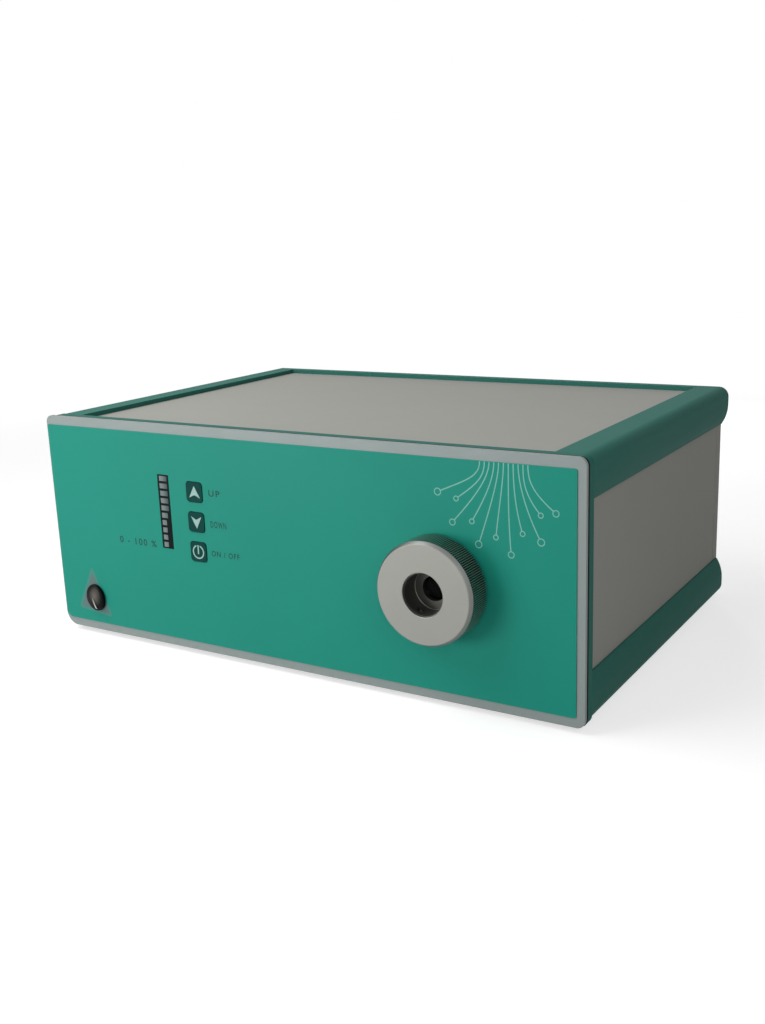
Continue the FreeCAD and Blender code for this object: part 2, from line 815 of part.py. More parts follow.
def make_lock_pin():
    """Radial pin with ball ends; its outer end follows the collar's cam groove."""
    outward = FreeCAD.Rotation(FreeCAD.Vector(0, 0, 1), pin_direction())
    y = depth(pinDepth - guideReach)
    ends = []
    for name, distance in (("pin_nose", pinRest + pinRadius), ("pin_tail", pinOuter - pinRadius)):
        x, z = circle_points(guidePoint, distance, [pinAngle])[0]
        ball = doc.addObject("Part::Sphere", name)
        ball.setExpression("Radius", pinRadius.formula)
        place(ball, (x, y, z))
        ends.append(ball)
    x, z = circle_points(guidePoint, pinRest + pinRadius, [pinAngle])[0]
    shank = rod("pin_shank", (x, y, z), pinRadius, pinOuter - pinRest - 2 * pinRadius, outward)
    sub_part("lock_pin", fused("lock_pin", ends + [shank]))


def make_collar_ring():
    """Split snap ring, half in the barrel's groove and half in the collar's."""
    ring_blank = turned("snap_ring_blank", [(15.2, 0), (17.6, 0), (17.6, 1), (15.2, 1)], -4)
    gap = block("snap_ring_gap", (guideX - 3, depth(-5), guideZ), (6, 3, 20))
    sub_part("collar_ring", without("collar_ring", ring_blank, [gap]))


# ---- lamp: lenses, LED and heat sink

tubeTo = driving("tubeTo", 46)
lensRadius = driving("lensRadius", 12.3)


def make_lamp():
    front = guideReach - collarLip - slip
    tube_from = boreLong + apertureWall - front + 0.1
    tube_wall = lensRadius + 0.1
    length = tubeTo - tube_from
    tube = turned("lens_tube", [(tube_wall - 1.4, 0), (tubeRadius, 0), (tubeRadius, length),
                                (tube_wall, length), (tube_wall, 1.5), (tube_wall - 1.4, 1.5)], tube_from)
    sub_part("lens_tube", tube)
    make_lenses(tube_from + 1.6)
    make_led()
    make_heat_sink()


def make_lenses(first):
    """Two plano-convex lenses, curved faces towards each other, with a spacer and a keeper ring."""
    edge, bulge = 2.2, 4
    long = edge + bulge
    curve = (lensRadius * lensRadius + bulge * bulge) / (2 * bulge)
    front = [(0, 0), (lensRadius, 0), (lensRadius, edge), (0, long, curve, -1)]
    rear = [(0, 0), (lensRadius, bulge, curve, -1), (lensRadius, long), (0, long)]
    spacer_long, keeper_long, seat_rise = 16, 3, 1.2
    sub_part("front_lens", turned("front_lens", front, first))
    sub_part("lens_spacer", lens_ring("lens_spacer", first + edge + seat_rise, spacer_long))
    rear_start = first + edge + spacer_long + 2 * seat_rise - bulge
    sub_part("rear_lens", turned("rear_lens", rear, rear_start))
    sub_part("lens_keeper", lens_ring("lens_keeper", rear_start + long + 0.1, keeper_long))


def lens_ring(name, start, length):
    inner = lensRadius - 1.6
    return turned(name, [(inner, 0), (lensRadius, 0), (lensRadius, length), (inner, length)], start)


def make_led():
    holder_side, board_side = 44, 30
    half = holder_side / 2
    holder = block("holder_blank", (guideX - half, depth(tubeTo - 6), guideZ - half),
                   (holder_side, sinkFrom - tubeTo + 6, holder_side))
    bore = rod("holder_bore", (guideX, depth(tubeTo - 7), guideZ), tubeRadius + 0.05, 20)
    side = board_side + 1
    nest = block("holder_nest", (guideX - side / 2, depth(sinkFrom - 3), guideZ - side / 2), (side, 4, side))
    sub_part("led_holder", without("led_holder", holder, [bore, nest]))
    corner = (guideX - board_side / 2, depth(sinkFrom - boardThick), guideZ - board_side / 2)
    sub_part("led_board", block("led_board", corner, (board_side, boardThick, board_side)))
    dome = doc.addObject("Part::Sphere", "led_dome_ball")
    dome.Radius = 5
    place(dome, (guideX, depth(sinkFrom - boardThick - 0.6), guideZ))
    keep = block("led_dome_half", (guideX - 6, depth(sinkFrom - boardThick - 8), guideZ - 6), (12, 8, 12))
    sub_part("led_emitter", common("led_emitter", [dome, keep]))


def bracket_screw_points():
    return [(guideX + side * 24, depth(sinkFrom + bracketDeep / 2)) for side in (-1, 1)]


def make_heat_sink():
    """Fins pressed into grooves of a base plate, which has a screw hole in each side."""
    fin_count, root = 12, 1.5
    low_x, low_z = guideX - sinkWide / 2, guideZ - sinkTall / 2
    base = block("sink_base", (low_x, depth(sinkFrom), low_z), (sinkWide, sinkBase, sinkTall))
    fins = []
    for index in range(fin_count):
        x = low_x + (sinkWide - sinkFinThick) * (index / (fin_count - 1))
        fins.append(block(f"sink_fin_{index}", (x, depth(sinkFrom + sinkBase - root), low_z),
                          (sinkFinThick, sinkFinLong + root, sinkTall)))
    reach = bracketThick + 1
    side_hole = rod("sink_side_hole", (low_x - reach, depth(sinkFrom + sinkBase / 2), sinkScrewZ),
                    screwHole, sinkWide + 2 * reach, "x")
    sub_part("heat_sink", grouped("heat_sink", [without("sink_base_cut", base, fins + [side_hole])] + fins))
    make_bracket(low_x, low_z, side_hole)


def make_bracket(low_x, low_z, side_hole):
    """U-shaped strap on the floor that holds the heat sink by its base."""
    thick, leg_tall = bracketThick, 34
    start = depth(sinkFrom)
    base = block("bracket_base", (low_x - thick, start, floorTop), (sinkWide + 2 * thick, bracketDeep, thick))
    legs = [block(f"bracket_leg_{index}", (x, start, floorTop), (thick, bracketDeep, leg_tall))
            for index, x in enumerate((low_x - thick, low_x + sinkWide))]
    ledge = block("bracket_ledge", (low_x, start, low_z - thick), (sinkWide, sinkBase, thick))
    post = block("bracket_post", (low_x, start, floorTop), (sinkWide, thick, low_z - floorTop))
    solid = fused("bracket_solid", [base, post, ledge] + legs)
    holes = [rod(f"bracket_hole_{index}", (x, y, floorTop), screwHole, thick, "z")
             for index, (x, y) in enumerate(bracket_screw_points())]
    sub_part("heat_sink_bracket", without("heat_sink_bracket", solid, [side_hole] + holes))
    for index, (x, y) in enumerate(bracket_screw_points()):
        pan_screw(f"bracket_screw_{index}", (x, y, floorTop - panelThick), "z")
    for side, flip in ((-1, 1), (1, -1)):
        seat = (guideX + side * (sinkWide / 2 + thick), depth(sinkFrom + sinkBase / 2), sinkScrewZ)
        pan_screw(f"sink_screw_{side + 1}", seat, "x", flip)


# ---- fan

def fan_screw_points():
    half = fanHoleSpacing / 2
    return [(guideX + a * half, guideZ + b * half) for a in (-1, 1) for b in (-1, 1)]


fanFrom = caseDeep - fanDeep


def make_fan():
    half = fanSide / 2
    casing = block("fan_casing", (guideX - half, depth(fanFrom), guideZ - half), (fanSide, fanDeep, fanSide))
    tunnel = rod("fan_tunnel", (guideX, depth(fanFrom - 1), guideZ), fanBore, fanDeep + 2)
    holes = [rod(f"fan_hole_{index}", (x, depth(fanFrom - 1), z), screwHole + 0.1, fanDeep + 2)
             for index, (x, z) in enumerate(fan_screw_points())]
    shell = without("fan_shell", casing, [tunnel] + holes)
    hub = rod("fan_motor", (guideX, depth(caseDeep - 3), guideZ), 17, 3)
    struts = []
    for index, angle in enumerate((30, 150, 270)):
        arm = block(f"fan_strut_{index}", (0, 0, -2), (fanBore + 1, 3, 4))
        arm.Placement = FreeCAD.Placement(FreeCAD.Vector(), FreeCAD.Rotation(FreeCAD.Vector(0, 1, 0), angle))
        place(arm, (guideX - 2 * math.sin(math.radians(angle)), depth(caseDeep - 3),
                    guideZ - 2 * math.cos(math.radians(angle))))
        struts.append(arm)
    solid = fused("fan_frame_solid", [shell, hub] + struts)
    bearing = rod("fan_bearing", (guideX, depth(caseDeep - 4), guideZ), 2 + runningFit, 3)
    sub_part("fan_frame", without("fan_frame", solid, [bearing]))
    make_fan_rotor()
    make_fan_guard()


def make_fan_rotor():
    """Hub, seven pitched blades and the shaft stub that runs in the motor's bearing."""
    blade_count, pitch, tip = 7, 40, fanBore - 1.2
    hub = rod("rotor_hub", (guideX, depth(fanFrom + 2), guideZ), 16, fanDeep - 6)
    shaft = rod("rotor_shaft", (guideX, depth(caseDeep - 5), guideZ), 2, 3.5)
    blades = []
    for index in range(blade_count):
        turn = FreeCAD.Rotation(FreeCAD.Vector(0, 1, 0), 360 * index / blade_count)
        tilt = FreeCAD.Rotation(FreeCAD.Vector(0, 0, 1), pitch)
        blade = doc.addObject("Part::Box", f"rotor_blade_{index}")
        blade.Length, blade.Width, blade.Height = 1.6, 21, 40
        centred = FreeCAD.Placement(FreeCAD.Vector(-0.8, -10.5, 10), FreeCAD.Rotation())
        spun = FreeCAD.Placement(FreeCAD.Vector(), turn.multiply(tilt))
        blade.Placement = spun.multiply(centred)
        blades.append(blade)
    blade_group = fused("rotor_blades", blades)
    place(blade_group, (guideX, depth(fanFrom + 11.5), guideZ))
    sweep = rod("rotor_sweep", (guideX, depth(fanFrom + 3), guideZ), tip, 17)
    trimmed = common("rotor_blades_trimmed", [blade_group, sweep])
    sub_part("fan_rotor", fused("fan_rotor", [hub, shaft, trimmed]))


def make_fan_guard():
    wire = 0.9
    face = caseDeep + rearPlateThick
    rings = [ring(f"guard_ring_{index}", (guideX, depth(face + wire + 1.4), guideZ), radius, wire)
             for index, radius in enumerate((10, 17.5, 25, 32.5, 40))]
    spokes = []
    reach = fanHoleSpacing * math.sqrt(0.5)
    for index, angle in enumerate((45, 135)):
        direction = FreeCAD.Vector(math.cos(math.radians(angle)), 0, math.sin(math.radians(angle)))
        x, z = circle_points(guidePoint, -(reach - 3.2), [angle])[0]
        along = FreeCAD.Rotation(FreeCAD.Vector(0, 0, 1), direction)
        spokes.append(rod(f"guard_spoke_{index}", (x, depth(face + wire), z), wire, 2 * (reach - 3.2), along))
    ears = [ring(f"guard_ear_{index}", (x, depth(face + wire), z), 3.2, wire)
            for index, (x, z) in enumerate(fan_screw_points())]
    sub_part("fan_guard", fused("fan_guard", rings + spokes + ears))
    for index, (x, z) in enumerate(fan_screw_points()):
        pan_screw(f"fan_screw_{index}", (x, depth(face + 2 * wire), z), flip=-1, long=True)


# ---- controls on the front plate

def make_keys():
    switches = []
    board_face = plateThick + boardStand
    for label, height in zip(("power_key", "down_key", "up_key"), key_heights()):
        x, z = plateLeft + keyFromLeft, plateStand + height
        pad_low = depth(-foilThick - keyProud)
        half = keySide / 2
        cap = rounded_plate(label + "_cap", (x - half, pad_low, z - half), keySide, keySide,
                            foilThick + keyProud + keyFlange, keyRound)
        wide = half + keyGap + 0.3
        flange = block(label + "_flange", (x - wide, depth(0.05), z - wide),
                       (2 * wide, keyFlange - 0.05, 2 * wide))
        stem = rod(label + "_stem", (x, depth(0.3), z), stemRadius, 6.6)
        sub_part(label, fused(label, [cap, flange, stem]))
        housing = block(label + "_switch", (x - 3.1, depth(5.2), z - 3.1), (6.2, board_face - 5.2, 6.2))
        well = rod(label + "_switch_well", (x, depth(5), z), stemRadius + 0.3, 3)
        switches.append(without(label + "_switch_cut", housing, [well]))
    sub_part("key_switches", grouped("key_switches", switches))
    make_level_bar(board_face)
    make_display_board(board_face)


def make_level_bar(board_face):
    """Ten light segments in one black housing, flush with the overlay; the lower ones are narrower."""
    x, z = plateLeft + barPoint[0], plateStand + barPoint[1]
    face = -foilThick
    housing = block("level_blank", (x - barWide / 2, depth(face), z - barTall / 2),
                    (barWide, board_face - face, barTall))
    pitch = barTall / segmentCount
    cells, segments = [], []
    for index in range(segmentCount):
        low = z - barTall / 2 + pitch * index + (pitch - segmentTall) / 2
        wide = segmentNarrow + (segmentWide - segmentNarrow) * (min(max(index - 3, 0), 2) / 2)
        left = x - segmentWide / 2
        cells.append(block(f"level_cell_{index}", (left, depth(face - 1), low), (wide, 4, segmentTall)))
        segments.append(block(f"level_segment_{index}", (left, depth(face), low), (wide, 3, segmentTall)))
    sub_part("level_housing", without("level_housing", housing, cells))
    sub_part("level_segments", grouped("level_segments", segments))


displayBoard = {"left": 69, "right": 118, "low": 46, "high": 101, "inset": 4}


board_posts = []


def add_post(name, low, along):
    """A threaded post, pressed into the front plate or the floor, that carries a circuit board."""
    post = rod(name, low, 3, boardStand, along)
    bore = rod(name + "_bore", low, screwHole, boardStand, along)
    board_posts.append(without(name + "_cut", post, [bore]))


def make_display_board(board_face):
    low_x, high_x = plateLeft + displayBoard["left"], plateLeft + displayBoard["right"]
    low_z, high_z = plateStand + displayBoard["low"], plateStand + displayBoard["high"]
    sheet_blank = block("display_blank", (low_x, depth(board_face), low_z),
                        (high_x - low_x, boardThick, high_z - low_z))
    inset = displayBoard["inset"]
    points = [(x, z) for x in (low_x + inset, high_x - inset) for z in (low_z + inset, high_z - inset)]
    holes = []
    for index, (x, z) in enumerate(points):
        holes.append(rod(f"display_hole_{index}", (x, depth(board_face - 1), z), screwHole, boardThick + 2))
        add_post(f"display_post_{index}", (x, depth(plateThick), z), "y")
        pan_screw(f"display_screw_{index}", (x, depth(board_face + boardThick), z), flip=-1)
    sub_part("display_board", without("display_board", sheet_blank, holes))


def make_selector():
    """Low pointer knob on a small rotary switch; its rib points down at rest."""
    x, z = centre = (plateLeft + selectorPoint[0], plateStand + selectorPoint[1])
    shaft_front = selectorCrown - selectorTall - selectorGap - foilThick
    make_selector_knob(centre, shaft_front)
    nut_tall, bushing_radius, can_radius, can_long, shaft_back = 1.6, 3.4, 6.4, 12, 9.6
    bushing_front = -foilThick - nut_tall
    shaft = rod("selector_shaft", (x, depth(shaft_front), z), selectorShaft, shaft_back - shaft_front)
    sub_part("selector_shaft", shaft)
    bushing = rod("selector_bushing", (x, depth(bushing_front), z),
                  bushing_radius, plateThick - bushing_front)
    can = rod("selector_can", (x, depth(plateThick), z), can_radius, can_long)
    bore = rod("selector_bore", (x, depth(bushing_front), z),
               selectorShaft + runningFit, shaft_back + slip - bushing_front)
    sub_part("selector_switch", without("selector_switch", fused("selector_solid", [bushing, can]), [bore]))
    hexagon = doc.addObject("Part::Prism", "selector_nut_hexagon")
    hexagon.Polygon = 6
    hexagon.Circumradius = 5.1
    hexagon.setExpression("Height", as_size(nut_tall).formula)
    hexagon.Placement.Rotation = ALONG["y"]
    place(hexagon, (x, depth(-nut_tall), z))
    thread = rod("selector_nut_bore", (x, depth(-nut_tall), z), bushing_radius + 0.05, nut_tall)
    sub_part("selector_nut", without("selector_nut", hexagon, [thread]))


def make_selector_knob(centre, shaft_front):
    """Oval domed knob, hollow over the nut, with a raised pointer rib along its lower half."""
    x, z = centre
    base = -foilThick - selectorGap
    lean = FreeCAD.Rotation(FreeCAD.Vector(0, 1, 0), -12)
    hollow_radius, hollow_deep, rim_round = 5.4, 1.4, 1.1
    rib_wide, rib_long, rib_proud = 1.2, 6, 0.4
    oval = doc.addObject("Part::Ellipse", "knob_oval")
    oval.setExpression("MajorRadius", (selectorLong / 2).formula)
    oval.setExpression("MinorRadius", (selectorWide / 2).formula)
    long_up = FreeCAD.Rotation(FreeCAD.Vector(0, 0, 1), 90)
    upright = FreeCAD.Rotation(FreeCAD.Vector(1, 0, 0), 90).multiply(long_up)
    oval.Placement.Rotation = lean.multiply(upright)
    place(oval, (x, depth(base), z))
    column = doc.addObject("Part::Extrusion", "knob_column")
    column.Base = oval
    column.DirMode = "Custom"
    column.Dir = FreeCAD.Vector(0, -1, 0)
    column.Solid = True
    column.setExpression("LengthFwd", (selectorTall + 1).formula)
    dome = common("knob_dome", [column, knob_ball("knob_ball", centre, base, 0)])
    rounded = round_rim(dome, rim_round)
    strip = doc.addObject("Part::Box", "knob_rib_strip")
    strip.Length, strip.Width, strip.Height = rib_wide, 4, rib_long
    strip.Placement.Rotation = lean
    corner = lean.multVec(FreeCAD.Vector(-rib_wide / 2, 0, -rib_long))
    place(strip, (x + corner.x, depth(base - 5), z + corner.z))
    rib = common("knob_rib", [knob_ball("knob_rib_ball", centre, base, rib_proud), strip])
    hollow = rod("knob_hollow", (x, depth(base - hollow_deep), z), hollow_radius, 2 * hollow_deep)
    socket = rod("knob_socket", (x, depth(shaft_front), z), selectorShaft, selectorTall)
    solid = fused("knob_solid", [rounded, rib])
    sub_part("selector_knob", without("selector_knob", solid, [hollow, socket]))


def knob_ball(name, centre, base, proud):
    ball = doc.addObject("Part::Sphere", name)
    ball.setExpression("Radius", (selectorDome + proud).formula)
    place(ball, (centre[0], depth(base - selectorTall + selectorDome), centre[1]))
    return ball


def round_rim(dome, radius):
    """Rounds the edge where the dome's top meets its wall."""
    doc.recompute()
    base = dome.Shape.BoundBox.YMax
    rim = [(index + 1, radius, radius) for index, edge in enumerate(dome.Shape.Edges)
           if edge.CenterOfMass.y < base - 0.5 and edge.Length > 20]
    rounded = doc.addObject("Part::Fillet", dome.Name + "_rounded")
    rounded.Base = dome
    rounded.Edges = rim
    return rounded


# ---- mains inlet with its fuse drawer, and the rocker switch

def make_inlet():
    face = caseDeep + rearPlateThick
    flange = block("inlet_flange", (inletX - 15.5, depth(face), inletZ - 26), (31, 3, 52))
    body_deep = 26
    shell = block("inlet_shell", (inletX - 14, depth(face - body_deep), inletZ - 24), (28, body_deep, 48))
    solid = fused("inlet_solid", [flange, shell])
    socket_z, socket_deep = inletZ + 9, 17
    low_corner = [(-12.2, -8.3), (12.2, -8.3), (12.2, 4.3), (8.2, 8.3), (-8.2, 8.3), (-12.2, 4.3)]
    cavity = new_body("inlet_cavity", (inletX - 12.2, depth(face + 3 - socket_deep), socket_z - 8.3))
    outline = new_sketch(cavity, "inlet_cavity_outline", "XZ_Plane")
    draw_outline(outline, [(x + 12.2, z + 8.3) for x, z in low_corner])
    pad(cavity, outline, socket_deep + 1)
    drawer_z = inletZ - 13
    tunnel = block("drawer_tunnel", (inletX - 11.3, depth(face + 3 - 22), drawer_z - 4.8), (22.6, 23, 9.6))
    sub_part("mains_inlet", without("mains_inlet", solid, [cavity, tunnel]))
    floor = face + 3 - socket_deep
    pins = [block(f"inlet_pin_{index}", (inletX + x - 1, depth(floor), socket_z + z - 2), (2, 15, 4))
            for index, (x, z) in enumerate(((-7, -2), (0, 2), (7, -2)))]
    tabs = [block(f"inlet_tab_{index}", (inletX + x - 0.4, depth(face - body_deep - 8), socket_z - 3.1),
                  (0.8, 8, 6.2)) for index, x in enumerate((-7, 0, 7))]
    sub_part("inlet_pins", grouped("inlet_pins", pins + tabs))
    make_fuse_drawer(face, drawer_z)


def make_fuse_drawer(face, drawer_z):
    front = block("drawer_front", (inletX - 12.3, depth(face + 3.05), drawer_z - 5.6),
                  (24.6, rearReach - face - 3.05, 11.2))
    tray = block("drawer_tray", (inletX - 11, depth(face + 3 - 21), drawer_z - 4.5), (22, 22, 9))
    nest = block("drawer_nest", (inletX - 10.3, depth(face + 3 - 20), drawer_z - 3), (20.6, 6, 9))
    finger = block("drawer_finger_slot", (inletX - 4, depth(rearReach - 0.8), drawer_z + 3.6), (8, 2, 3))
    sub_part("fuse_drawer", without("fuse_drawer", fused("drawer_solid", [front, tray]), [nest, finger]))
    glass = rod("fuse_link", (inletX - 10, depth(face + 3 - 17), drawer_z), 2.6, 20, "x")
    sub_part("fuse_link", glass)


def make_rocker():
    """Rocker in its housing; it is tilted at rest and turns through the same angle either way."""
    face = caseDeep + rearPlateThick
    flange = block("rocker_flange", (inletX - 8.5, depth(face), rockerZ - 12), (17, 2, 24))
    shell = block("rocker_shell", (inletX - 6.8, depth(face - 16), rockerZ - 10), (13.6, 16, 20))
    well = block("rocker_well", (inletX - 5.2, depth(face - 10), rockerZ - 9.2), (10.4, 13, 18.4))
    axle_y = face - 3
    bearing = rod("rocker_bearing", (inletX - 6.2, depth(axle_y), rockerZ), 1.2 + runningFit, 12.4, "x")
    solid = fused("rocker_housing_solid", [flange, shell])
    sub_part("rocker_housing", without("rocker_housing", solid, [well, bearing]))
    half_tall, cap, dip, keel = 7.8, 5.4, 3.6, 3
    tilt = math.radians(10)
    outline = []
    for back, up in ((cap, half_tall), (dip, 0), (cap, -half_tall), (-0.5, -half_tall), (-keel, -4),
                     (-keel, 4), (-0.5, half_tall)):
        outline.append((back * math.cos(tilt) - up * math.sin(tilt),
                        up * math.cos(tilt) + back * math.sin(tilt)))
    shift = 12
    paddle = new_body("rocker_paddle", (inletX - 4.9, depth(axle_y - shift), rockerZ - shift))
    section = new_sketch(paddle, "rocker_section", "YZ_Plane")
    draw_outline(section, [(back + shift, up + shift) for back, up in outline])
    feature = paddle.newObject("PartDesign::Pad", "rocker_pad")
    feature.Profile = section
    feature.Length = 9.8
    axle = rod("rocker_axle", (inletX - 6, depth(axle_y), rockerZ), 1.2, 12, "x")
    sub_part("power_rocker", fused("power_rocker", [paddle, axle]))


# ---- circuit boards

driverBoard = {"x": -18, "back": 70, "wide": 46, "deep": 110}
powerBoard = {"x": -132, "back": 44, "wide": 96, "deep": 120}
boardInset = 5


def board_points(board):
    xs = (board["x"] + boardInset, board["x"] + board["wide"] - boardInset)
    ys = (board["back"] + boardInset, board["back"] + board["deep"] - boardInset)
    return [(x, y) for x in xs for y in ys]


def make_boards():
    under = floorTop + boardStand
    for label, board in (("driver_board", driverBoard), ("power_board", powerBoard)):
        blank = block(label + "_blank", (board["x"], depth(board["back"]), under),
                      (board["wide"], board["deep"], boardThick))
        holes = []
        for index, (x, back) in enumerate(board_points(board)):
            name = f"{label}_{index}"
            holes.append(rod(name + "_hole", (x, depth(back), under), screwHole, boardThick, "z"))
            add_post(name + "_post", (x, depth(back), floorTop), "z")
            pan_screw(name + "_screw", (x, depth(back), under + boardThick), "z", -1)
        sub_part(label, without(label, blank, holes))
    make_board_parts(under + boardThick)


def make_board_parts(top):
    """Blocks and cans on the two boards: (x, distance back, wide, deep, tall) or (x, back, radius, tall)."""
    x, back = driverBoard["x"], driverBoard["back"]
    driver = {
        "led_terminal": (x + 14, back + 2, 18, 9, 11),
        "coil": (x + 11, back + 26, 22, 22, 12),
        "controller": (x + 14, back + 58, 14, 14, 2),
        "display_header": (x + 2, back + 56, 8, 22, 9),
        "supply_terminal": (x + 14, back + 98, 20, 9, 11),
        "filter_can_a": (x + 12, back + 88, 5, 16),
        "filter_can_b": (x + 30, back + 88, 5, 16),
    }
    x, back = powerBoard["x"], powerBoard["back"]
    power = {
        "mains_terminal": (x + 12, back + 108, 24, 10, 12),
        "mains_choke": (x + 14, back + 84, 18, 18, 20),
        "suppressor": (x + 46, back + 92, 26, 10, 18),
        "bulk_can": (x + 26, back + 62, 12, 34),
        "transformer": (x + 44, back + 40, 36, 32, 30),
        "switch_cooler": (x + 14, back + 14, 4, 34, 32),
        "output_can_a": (x + 56, back + 24, 6.5, 24),
        "output_can_b": (x + 74, back + 24, 6.5, 24),
        "output_terminal": (x + 52, back + 2, 24, 9, 12),
    }
    for label, parts in (("driver_parts", driver), ("power_parts", power)):
        pieces = []
        for name, sizes in parts.items():
            if len(sizes) == 5:
                pieces.append(block(name, (sizes[0], depth(sizes[1]), top), sizes[2:]))
            else:
                pieces.append(rod(name, (sizes[0], depth(sizes[1]), top), sizes[2], sizes[3], "z"))
        sub_part(label, grouped(label, pieces))


# ---- wires inside the case

def wire_path(points):
    """Straight runs joined by tangent arcs; returns the path and the arcs' radii."""
    edges, radii, start = [], [], points[0]
    for before, corner, after in zip(points, points[1:], points[2:]):
        arriving, leaving = corner - before, after - corner
        shorter = min(arriving.Length, leaving.Length)
        half_turn = arriving.getAngle(leaving) / 2
        reach = 0.45 * shorter
        radii.append(reach / math.tan(half_turn))
        enter = corner - arriving.normalize() * reach
        leave = corner + leaving.normalize() * reach
        inwards = (leaving - arriving).normalize()
        to_arc = radii[-1] / math.cos(half_turn) - radii[-1]
        edges.append(Part.LineSegment(start, enter).toShape())
        edges.append(Part.Arc(enter, corner + inwards * to_arc, leave).toShape())
        start = leave
    edges.append(Part.LineSegment(start, points[-1]).toShape())
    return Part.Wire(edges), radii


def make_wire(label, radius, route):
    """A wire along route, a list of (x, distance back, z)."""
    points = [FreeCAD.Vector(x, depth(back).value, z) for x, back, z in route]
    path, radii = wire_path(points)
    circle = Part.Circle(points[0], (points[1] - points[0]).normalize(), radius)
    tube = path.makePipeShell([Part.Wire(circle.toShape())], True, False)
    expected = math.pi * radius ** 2 * path.Length
    print(f"{label}: length {path.Length:.1f}, smallest bend {min(radii):.1f}, "
          f"volume {tube.Volume / expected:.4f} of section times length")
    item = doc.addObject("Part::Feature", label)
    item.Shape = tube
    item.Placement = FreeCAD.Placement()
    return item


def make_wires():
    top = (floorTop + boardStand + boardThick).value
    inlet_x, inlet_z = inletX.value, inletZ.value
    guide_x, guide_z = guideX.value, guideZ.value
    sub_part("mains_wire", make_wire("mains_wire", 2.5, [
        (inlet_x, 182, inlet_z + 9), (inlet_x, 174, inlet_z + 9), (inlet_x, 166, inlet_z),
        (inlet_x, 160, inlet_z - 10), (inlet_x - 1, 157, top + 13)]))
    supply = make_wire("supply_wire", 1.6, [
        (-70, 50, top + 12), (-70, 50, top + 22), (-66, 56, top + 30), (-54, 70, top + 32),
        (-40, 90, top + 30), (-24, 120, top + 28), (-8, 145, top + 26), (5, 171, top + 21), (5, 171, top + 11)])
    lamp = make_wire("lamp_wire", 1.6, [
        (5, 76.5, top + 11), (5, 76.5, top + 19), (12, 72, top + 27), (26, 68, top + 33),
        (44, 56, guide_z - 4), (guide_x - 32, 47, guide_z), (guide_x - 22.2, 47, guide_z)])
    display = make_wire("display_wire", 1.8, [
        (-12, 137, top + 9), (-12, 137, top + 18), (-16, 126, top + 26), (-24, 104, top + 32),
        (-38, 76, top + 36), (-50, 46, top + 40), (-56, 24, top + 44), (-57, 14, top + 44),
        (-57, 10.8, top + 44)])
    fan = make_wire("fan_wire", 1.3, [
        (22, 171, top + 11), (22, 174, top + 18), (24, 184, top + 22), (31, 196, top + 22),
        (guide_x - 40.1, 196, top + 22)])
    sub_part("low_voltage_wires", grouped("low_voltage_wires", [supply, lamp, display, fan]))


# ---- the whole instrument

def check_document():
    """Stops where an object failed or a sub-part has no valid solid."""
    faults = []
    for item in doc.Objects:
        if "Invalid" in item.State or "Error" in item.State:
            faults.append(f"{item.Name}: {item.State}")
    for item in sub_parts:
        if item.Shape.isNull() or not item.Shape.isValid() or not item.Shape.Solids:
            faults.append(f"{item.Label}: no valid solid")
    if faults:
        raise RuntimeError("; ".join(faults))


def write_sub_parts():
    os.makedirs("parts", exist_ok=True)
    for item in sub_parts:
        item.Shape.exportStep(f"parts/{item.Label}.step")


make_front_plate()
make_front_foil()
make_front_frame()
make_front_screws()
make_rails()
make_panels()
make_feet()
make_rear_bars()
make_rear_plate()
place_rear_screws()
make_guide_collar()
make_guide_socket()
make_lock_pin()
make_collar_ring()
make_lamp()
make_fan()
make_keys()
make_selector()
make_inlet()
make_rocker()
make_boards()
make_wires()
sub_part("board_posts", grouped("board_posts", board_posts))
sub_part("short_screws", grouped("short_screws", short_screws))
sub_part("long_screws", grouped("long_screws", long_screws))
doc.recompute()
check_document()
write_sub_parts()
print(f"{len(sub_parts)} sub-parts written")
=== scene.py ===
import bmesh
import bpy
import json
import math
from mathutils import Euler, Matrix, Vector


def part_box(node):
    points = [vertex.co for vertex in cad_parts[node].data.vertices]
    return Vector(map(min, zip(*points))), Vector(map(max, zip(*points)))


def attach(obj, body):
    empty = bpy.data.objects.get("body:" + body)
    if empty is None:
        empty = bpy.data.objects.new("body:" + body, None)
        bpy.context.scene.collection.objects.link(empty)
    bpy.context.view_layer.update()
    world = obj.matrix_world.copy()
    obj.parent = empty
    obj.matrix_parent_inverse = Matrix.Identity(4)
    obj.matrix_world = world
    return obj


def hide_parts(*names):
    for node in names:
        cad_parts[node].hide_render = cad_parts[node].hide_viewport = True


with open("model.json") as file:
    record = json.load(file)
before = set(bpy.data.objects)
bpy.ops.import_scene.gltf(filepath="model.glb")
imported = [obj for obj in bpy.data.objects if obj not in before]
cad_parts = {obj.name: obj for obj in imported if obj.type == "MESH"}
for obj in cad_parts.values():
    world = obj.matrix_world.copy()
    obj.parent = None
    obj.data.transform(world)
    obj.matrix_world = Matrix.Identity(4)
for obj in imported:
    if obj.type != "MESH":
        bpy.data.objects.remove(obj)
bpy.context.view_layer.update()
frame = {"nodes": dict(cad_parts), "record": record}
print("frame loaded")

mm = 0.001


# where things are, in millimetres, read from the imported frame

def boxOf(node):
    low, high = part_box(node)
    return Vector(low) / mm, Vector(high) / mm


def middleOf(node):
    low, high = boxOf(node)
    return (low.x + high.x) / 2, (low.z + high.z) / 2


foilLow, foilHigh = boxOf("front_foil")
collarLow, collarHigh = boxOf("guide_collar")
portX, portZ = middleOf("guide_collar")
selectorSpot = middleOf("selector_shaft")
foilFace = foilLow.y
frameFront = boxOf("front_frame")[0].y

